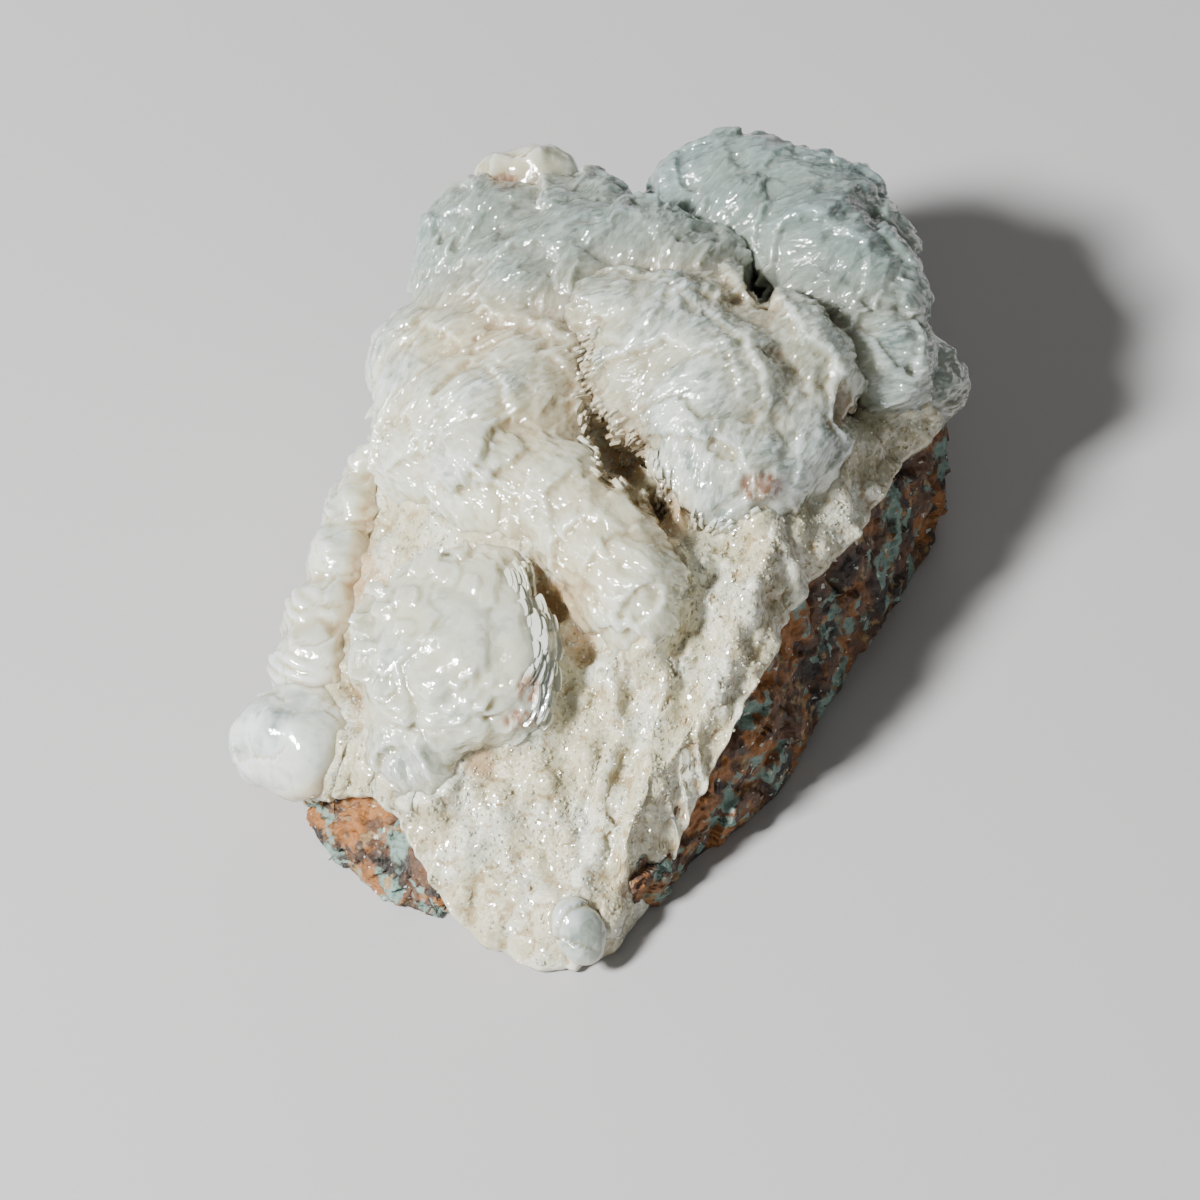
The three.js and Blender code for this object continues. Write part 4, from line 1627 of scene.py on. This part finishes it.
class Graph:
    """Shader nodes of one material, with short calls for the kinds that the finishes use."""

    def __init__(self, name: str) -> None:
        """Make an empty material with a Principled shader."""
        self.material = bpy.data.materials.new(name)
        self.material.use_nodes = True
        self.tree = self.material.node_tree
        self.shader = self.tree.nodes["Principled BSDF"]

    def node(self, kind: str, inputs: dict | None = None, **settings: object) -> bpy.types.Node:
        """Add a node.

        Args:
            kind: the node's type.
            inputs: values or sockets by input name or number.
            settings: the node's own properties.

        Returns:
            The node.
        """
        made = self.tree.nodes.new(kind)
        for key, value in settings.items():
            setattr(made, key, value)
        for key, value in (inputs or {}).items():
            self.put(made.inputs[key], value)
        return made

    def put(self, socket: bpy.types.NodeSocket, value: object) -> None:
        """Link a socket to an input, or set the input's value."""
        if isinstance(value, bpy.types.NodeSocket):
            self.tree.links.new(value, socket)
        else:
            socket.default_value = value

    def math(self, operation: str, *values: object, clamp: bool = False) -> bpy.types.NodeSocket:
        """Add a Math node and give its result."""
        made = self.node("ShaderNodeMath", dict(enumerate(values)), operation=operation, use_clamp=clamp)
        return made.outputs[0]

    def vector(self, operation: str, *values: object) -> bpy.types.NodeSocket:
        """Add a Vector Math node and give its result."""
        return self.node("ShaderNodeVectorMath", dict(enumerate(values)), operation=operation).outputs[0]

    def scaled(self, vector: bpy.types.NodeSocket, factors: Row) -> bpy.types.NodeSocket:
        """Give a vector with each part multiplied by its own factor."""
        return self.vector("MULTIPLY", vector, factors)

    def place(self) -> bpy.types.NodeSocket:
        """Give the place on the object, in mm."""
        coordinate = self.node("ShaderNodeTexCoord").outputs["Object"]
        return self.scaled(coordinate, (1 / MM, 1 / MM, 1 / MM))

    def number(self, key: str) -> bpy.types.NodeSocket:
        """Give a mesh attribute as a number."""
        return self.node("ShaderNodeAttribute", attribute_name=key).outputs["Fac"]

    def noise(self, vector: bpy.types.NodeSocket, size: float, detail: float = 2.0) -> bpy.types.NodeSocket:
        """Give noise from 0 to 1 with lumps of a size in mm."""
        inputs = {"Vector": vector, "Scale": 1 / size, "Detail": detail}
        return self.node("ShaderNodeTexNoise", inputs).outputs["Fac"]

    def between(self, value: object, low: float, high: float) -> bpy.types.NodeSocket:
        """Give 0 below low, 1 above high and a smooth step between them."""
        inputs = {"Value": value, "From Min": low, "From Max": high}
        return self.node("ShaderNodeMapRange", inputs, interpolation_type="SMOOTHSTEP").outputs[0]

    def mix(self, share: object, first: object, second: object) -> bpy.types.NodeSocket:
        """Mix two colours."""
        made = self.node("ShaderNodeMix", {"Factor": share}, data_type="RGBA")
        self.put(made.inputs[6], first)
        self.put(made.inputs[7], second)
        return made.outputs[2]

    def bump(self, height: object, strength: float, distance: float, normal: object = None) -> object:
        """Add a Bump node.

        Args:
            height: the height, from 0 to 1.
            strength: how much of it counts.
            distance: the height of 1, in m.
            normal: the normal that it changes, or None for the surface's own.

        Returns:
            The changed normal.
        """
        inputs = {"Height": height, "Strength": strength, "Distance": distance}
        if normal is not None:
            inputs["Normal"] = normal
        return self.node("ShaderNodeBump", inputs).outputs[0]

    def facets(self, vector: bpy.types.NodeSocket, lean: float) -> bpy.types.NodeSocket:
        """Give the surface's normal leaned one way for each cell of a scatter of cells.

        Args:
            vector: place, in cells.
            lean: how far the normal may lean, as a share of its length.

        Returns:
            The leaned normal.
        """
        cells = self.node("ShaderNodeTexVoronoi", {"Vector": vector, "Scale": 1.0})
        apart = self.vector("SUBTRACT", cells.outputs["Color"], (0.5, 0.5, 0.5))
        normal = self.node("ShaderNodeNewGeometry").outputs["Normal"]
        return self.vector("NORMALIZE", self.vector("ADD", normal, self.scaled(apart, (lean, lean, lean))))


def rgb(r: float, g: float, b: float) -> Row:
    """Give a colour with full alpha."""
    return (r, g, b, 1.0)


@dataclass(frozen=True)
class StilbiteFinish:
    """Milky, pearly crystal: light goes a few mm into it, and each plate's end glints."""

    name: str = "stilbite"
    milk: Row = rgb(0.72, 0.78, 0.76)
    grey: Row = rgb(0.20, 0.28, 0.27)
    frost: Row = rgb(0.87, 0.92, 0.90)
    cream: Row = rgb(0.68, 0.68, 0.53)
    honey: Row = rgb(0.56, 0.50, 0.29)
    tan: Row = rgb(0.47, 0.33, 0.18)
    rusty: Row = rgb(0.36, 0.18, 0.09)
    inner_light: float = 1.0
    depth: float = 0.0034
    roughness: float = 0.2
    coat_ior: float = 1.9
    coat_roughness: float = 0.08

    def build(self) -> bpy.types.Material:
        """Make the material."""
        g = Graph(self.name)
        place = g.place()
        plate = g.node("ShaderNodeAttribute", attribute_name="plate").outputs["Vector"]
        edgeways = g.number("edgeways")
        flakes = g.node("ShaderNodeTexVoronoi", {"Vector": g.scaled(plate, (1.5, 0.9, 0.9)), "Scale": 1.0})
        fine = g.node("ShaderNodeTexVoronoi", {"Vector": g.scaled(plate, (3.2, 2.2, 2.2)), "Scale": 1.0})
        own = g.node("ShaderNodeSeparateColor", {"Color": flakes.outputs["Color"]}).outputs[0]
        milk = g.math("ADD", g.noise(place, 4.0, 4.0), g.math("MULTIPLY", own, 0.22))
        milk = g.math("ADD", milk, g.math("MULTIPLY", g.number("clear"), 0.3))
        colour = g.mix(g.between(milk, 0.52, 0.98), self.milk, self.grey)
        frost = g.noise(g.scaled(plate, (1.0, 0.6, 0.6)), 0.7, 3.0)
        colour = g.mix(g.math("MULTIPLY", g.between(frost, 0.5, 0.66), 0.55), colour, self.frost)
        warm = g.math("ADD", g.noise(place, 10.0, 2.0), g.math("MULTIPLY", g.number("warm"), 0.5))
        warm = g.math("MULTIPLY", g.between(warm, 0.45, 1.05), 0.95)
        colour = g.mix(warm, colour, self.cream)
        # painted highlight: bulging rims are made lighter milk
        colour = g.mix(g.math("MULTIPLY", g.between(g.number("bulge"), 0.0, 0.09), 0.6), colour, self.milk)
        # honey where crevice is high: stain and painted shade
        crevice = g.number("crevice")
        paler = g.math("SUBTRACT", 0.7, g.math("MULTIPLY", g.number("clear"), 0.4))
        colour = g.mix(g.math("MULTIPLY", g.between(crevice, -0.1, 0.7), paler), colour, self.honey)
        # painted shade: hollows are tinted honey
        hollow = g.math("MULTIPLY", g.between(g.number("bulge"), 0.01, -0.08), 0.5)
        colour = g.mix(hollow, colour, self.honey)
        # tan in creases and hollows, flecked by noise: stain and painted shade
        dirt_and_shade = g.math("MULTIPLY", hollow, g.between(crevice, -0.2, 0.5))
        dirt_and_shade = g.math("ADD", g.between(crevice, 0.25, 1.3), dirt_and_shade)
        dirt_and_shade = g.math("MULTIPLY", dirt_and_shade, g.between(g.noise(place, 1.3, 3.0), 0.1, 0.65))
        colour = g.mix(g.math("MULTIPLY", dirt_and_shade, 0.9, clamp=True), colour, self.tan)
        threads = g.noise(g.scaled(place, (1.2, 0.3, 0.5)), 0.8, 3.0)
        rusty = g.math("MULTIPLY", g.between(g.number("rusty"), 0.2, 0.6), g.between(threads, 0.3, 0.6))
        colour = g.mix(rusty, colour, self.rusty)
        # grey where glassy: the crystal's own glassy grey, and painted shade on the upper sheaves that face
        # away from the key lamp
        colour = g.mix(g.math("MULTIPLY", g.between(g.number("clear"), 0.2, 1.1), 0.78), colour, self.grey)
        g.put(g.shader.inputs["Base Color"], colour)
        g.put(g.shader.inputs["Subsurface Weight"], self.inner_light)
        g.put(g.shader.inputs["Subsurface Radius"], (1.0, 0.95, 0.85))
        g.put(g.shader.inputs["Subsurface Scale"], self.depth)
        g.put(g.shader.inputs["Roughness"], self.roughness)
        g.put(g.shader.inputs["IOR"], 1.5)
        g.put(g.shader.inputs["Coat Weight"], 1.0)
        g.put(g.shader.inputs["Coat IOR"], self.coat_ior)
        g.put(g.shader.inputs["Coat Roughness"], self.coat_roughness)
        bump = g.bump(g.noise(place, 0.8, 3.0), 0.4, 0.0002)
        apart = g.vector("ADD", flakes.outputs["Color"], g.scaled(fine.outputs["Color"], (0.5, 0.5, 0.5)))
        apart = g.vector("SUBTRACT", apart, (0.75, 0.75, 0.75))
        lean = g.math("ADD", g.math("MULTIPLY", edgeways, 0.55), 0.34)
        apart = g.node("ShaderNodeVectorMath", {0: apart, "Scale": lean}, operation="SCALE").outputs[0]
        less = g.scaled(apart, (0.45, 0.45, 0.45))
        g.put(g.shader.inputs["Normal"], g.vector("NORMALIZE", g.vector("ADD", bump, less)))
        g.put(g.shader.inputs["Coat Normal"], g.vector("NORMALIZE", g.vector("ADD", bump, apart)))
        return g.material


@dataclass(frozen=True)
class DruseFinish:
    """Cream druse: tiny crystals that glint, tan in its hollows, and brown stain and painted shade where the
    sheaves shelter it.
    """

    name: str = "druse"
    cream: Row = rgb(0.60, 0.56, 0.38)
    pale: Row = rgb(0.70, 0.70, 0.57)
    tan: Row = rgb(0.40, 0.29, 0.14)
    brown: Row = rgb(0.56, 0.41, 0.24)
    speck: Row = rgb(0.10, 0.07, 0.05)
    inner_light: float = 0.7
    depth: float = 0.0009
    roughness: float = 0.32
    coat_ior: float = 1.7
    coat_roughness: float = 0.12

    def build(self) -> bpy.types.Material:
        """Make the material."""
        g = Graph(self.name)
        place = g.place()
        colour = g.mix(g.between(g.noise(place, 8.0, 3.0), 0.42, 0.62), self.cream, self.pale)
        hollow = g.math("ADD", g.math("MULTIPLY", g.number("bulge"), -2.2), g.noise(place, 2.4, 4.0))
        colour = g.mix(g.math("MULTIPLY", g.between(hollow, 0.48, 0.8), 0.8), colour, self.tan)
        # brown: stain and painted shade where the sheaves shelter the crust
        sheltered = g.math("ADD", g.number("crevice"), g.math("MULTIPLY", g.noise(place, 3.0, 3.0), 0.5))
        colour = g.mix(g.between(sheltered, 0.6, 1.15), colour, self.brown)
        specks = g.node("ShaderNodeTexVoronoi", {"Vector": place, "Scale": 1 / 2.2})
        spot = g.between(specks.outputs["Distance"], 0.13, 0.07)
        colour = g.mix(g.math("MULTIPLY", spot, 0.7), colour, self.speck)
        g.put(g.shader.inputs["Base Color"], colour)
        g.put(g.shader.inputs["Subsurface Weight"], self.inner_light)
        g.put(g.shader.inputs["Subsurface Radius"], (1.0, 0.8, 0.55))
        g.put(g.shader.inputs["Subsurface Scale"], self.depth)
        g.put(g.shader.inputs["Roughness"], self.roughness)
        g.put(g.shader.inputs["IOR"], 1.5)
        g.put(g.shader.inputs["Coat Weight"], 1.0)
        g.put(g.shader.inputs["Coat IOR"], self.coat_ior)
        g.put(g.shader.inputs["Coat Roughness"], self.coat_roughness)
        facets = g.facets(g.scaled(place, (2.2, 2.2, 2.2)), 0.35)
        g.put(g.shader.inputs["Normal"], g.bump(g.noise(place, 0.6, 3.0), 0.6, 0.0004, facets))
        g.put(g.shader.inputs["Coat Normal"], g.facets(g.scaled(place, (2.0, 2.0, 2.0)), 0.9))
        return g.material


@dataclass(frozen=True)
class BasaltFinish:
    """Weathered basalt: dark brown with rust, tan, teal and white grains."""

    name: str = "basalt"
    dark: Row = rgb(0.030, 0.024, 0.020)
    brown: Row = rgb(0.12, 0.060, 0.032)
    rust: Row = rgb(0.30, 0.12, 0.03)
    tan: Row = rgb(0.30, 0.20, 0.09)
    teal: Row = rgb(0.19, 0.28, 0.24)
    white: Row = rgb(0.58, 0.60, 0.54)
    roughness: float = 0.62

    def build(self) -> bpy.types.Material:
        """Make the material."""
        g = Graph(self.name)
        place = g.place()
        cells = g.node("ShaderNodeTexVoronoi", {"Vector": place, "Scale": 1 / 1.7})
        own = g.node("ShaderNodeSeparateColor", {"Color": cells.outputs["Color"]}).outputs[0]
        colour = g.mix(g.between(g.noise(place, 6.0, 4.0), 0.4, 0.6), self.dark, self.brown)
        rust = g.math("ADD", g.noise(place, 8.0, 4.0), g.math("MULTIPLY", own, 0.2))
        colour = g.mix(g.between(rust, 0.56, 0.72), colour, self.rust)
        teal = g.noise(g.vector("ADD", place, (31.0, 7.0, 3.0)), 7.0, 4.0)
        teal = g.math("ADD", teal, g.math("MULTIPLY", own, 0.16))
        colour = g.mix(g.between(teal, 0.62, 0.70), colour, self.teal)
        tan = g.noise(g.vector("ADD", place, (3.0, 57.0, 9.0)), 2.6, 4.0)
        colour = g.mix(g.between(tan, 0.58, 0.66), colour, self.tan)
        white = g.noise(g.vector("ADD", place, (83.0, 5.0, 19.0)), 1.5, 3.0)
        colour = g.mix(g.between(white, 0.66, 0.70), colour, self.white)
        g.put(g.shader.inputs["Base Color"], colour)
        g.put(g.shader.inputs["Roughness"], self.roughness)
        facets = g.facets(g.scaled(place, (1.1, 1.1, 1.1)), 0.7)
        g.put(g.shader.inputs["Normal"], g.bump(g.noise(place, 1.2, 6.0), 0.8, 0.0008, facets))
        return g.material


# Stage


@dataclass(frozen=True)
class Lamp:
    """A square lamp: its name, where it hangs and its side in m, and its power in watts."""

    name: str
    place: Row
    size: float
    watts: float


LAMPS = (
    Lamp("key", (-0.78, -0.5, 0.85), 0.2, 45.0),
    Lamp("fill", (0.3, -1.3, 1.0), 1.2, 2.5),
    Lamp("back", (0.3, 1.1, 1.0), 0.8, 2.5),
)


@dataclass
class Stage:
    """The pale floor, the lights and the camera."""

    floor_size: float = 3.0
    lens: float = 150.0
    aim: Row = (0.0, 0.0, 0.02)
    paper: Row = rgb(0.50, 0.49, 0.49)
    air: Row = rgb(0.98, 1.0, 0.97)
    air_strength: float = 0.1

    def floor(self) -> None:
        """Lay a plain pale floor under the specimen."""
        h = self.floor_size / MM / 2
        corners = np.array([[-h, -h, 0], [h, -h, 0], [h, h, 0], [-h, h, 0]], dtype=float)
        made = Surface(corners, [np.array([[0, 1, 2, 3]])]).build("floor", smooth=False)
        g = Graph("floor_paper")
        g.put(g.shader.inputs["Base Color"], self.paper)
        g.put(g.shader.inputs["Roughness"], 0.9)
        made.data.materials.append(g.material)

    def light(self, lamp: Lamp) -> None:
        """Hang one lamp, pointing at the specimen."""
        data = bpy.data.lights.new(lamp.name, "AREA")
        data.size = lamp.size
        data.energy = lamp.watts
        made = bpy.data.objects.new(lamp.name, data)
        made.location = lamp.place
        made.rotation_euler = turned_to(np.array(self.aim) - np.array(lamp.place))
        bpy.context.scene.collection.objects.link(made)

    def camera(self) -> None:
        """Set the camera where the photograph's was."""
        data = bpy.data.cameras.new("camera")
        data.sensor_width = 36.0
        data.lens = self.lens
        made = bpy.data.objects.new("camera", data)
        made.location = SIGHT.eye * MM
        made.rotation_euler = turned_to(-SIGHT.near)
        bpy.context.scene.collection.objects.link(made)
        bpy.context.scene.camera = made

    def build(self) -> None:
        """Build the stage."""
        self.floor()
        self.camera()
        for lamp in LAMPS:
            self.light(lamp)
        world = bpy.data.worlds.new("studio")
        world.use_nodes = True
        world.node_tree.nodes["Background"].inputs[0].default_value = self.air
        world.node_tree.nodes["Background"].inputs[1].default_value = self.air_strength
        bpy.context.scene.world = world


def turned_to(towards: np.ndarray) -> tuple[float, float, float]:
    """Give the turn that points an object's -Z along a direction with its Y up."""
    return Vector(towards).to_track_quat("-Z", "Y").to_euler()


def dressed(made: bpy.types.Object, finish: bpy.types.Material) -> bpy.types.Object:
    """Give a piece its one finish."""
    made.data.materials.clear()
    made.data.materials.append(finish)
    return made


CRYSTAL_COUNT = 3000
CRYSTAL_SEED = 3
# the main sheaves' pieces and teeth are numbered on from these, and the other clusters' all have the same
MAIN_SEED = 11
MAIN_TEETH_SEED = 51
CLUSTER_SEED = 31
CLUSTER_TEETH_SEED = 61


def main() -> None:
    """Build the specimen and its stage."""
    logging.basicConfig(level=logging.INFO, format="%(message)s")
    Stage().build()
    stilbite, druse, basalt = StilbiteFinish().build(), DruseFinish().build(), BasaltFinish().build()
    thin = StilbiteFinish("stilbite_thin", inner_light=0.0).build()
    main_lobes = lobes_of(Node.MAIN, MAIN_GROUPS)
    clusters = {
        Node.LOWER: lobes_of(Node.LOWER, LOWER_GROUPS),
        Node.LEFT_ROW: lobes_of(Node.LEFT_ROW, LEFT_ROW_GROUPS),
        Node.RIGHT: lobes_of(Node.RIGHT, RIGHT_GROUPS),
        Node.TOE: lobes_of(Node.TOE, TOE_GROUPS),
    }
    all_lobes = main_lobes + [lobe for own in clusters.values() for lobe in own]
    crust = Crust()
    settle(dressed(Rock().build("rock", crust), basalt), Node.ROCK)
    settle(dressed(crust.build("crust", all_lobes), druse), Node.CRUST)
    crystals = crust.crystals("crust_crystals", CRYSTAL_COUNT, all_lobes, CRYSTAL_SEED)
    settle(dressed(crystals, druse), Node.CRUST)
    sheaves = Sheaves()
    for index, (name, groups) in enumerate(MAIN_PIECES.items()):
        own = [lobe for lobe in main_lobes if lobe.group.name in groups]
        made = sheaves.mass(name, own, main_lobes, MAIN_SEED + index)
        settle(dressed(made, stilbite), Node.MAIN)
        if any(lobe.group.toothed for lobe in own):
            made = sheaves.blade_ends(f"{name}_blades", made, own, main_lobes, MAIN_TEETH_SEED + index)
            settle(dressed(made, thin), Node.MAIN)
    for node, own in clusters.items():
        for habit in Habit:
            shown = [lobe for lobe in own if lobe.group.habit is habit]
            if shown:
                made = sheaves.mass(f"{node.value}_{habit.name.lower()}", shown, own, CLUSTER_SEED)
                settle(dressed(made, stilbite), node)
                if any(lobe.group.toothed for lobe in shown):
                    made = sheaves.blade_ends(f"{node.value}_blades", made, shown, own, CLUSTER_TEETH_SEED)
                    settle(dressed(made, thin), node)


if __name__ == "__main__":
    main()
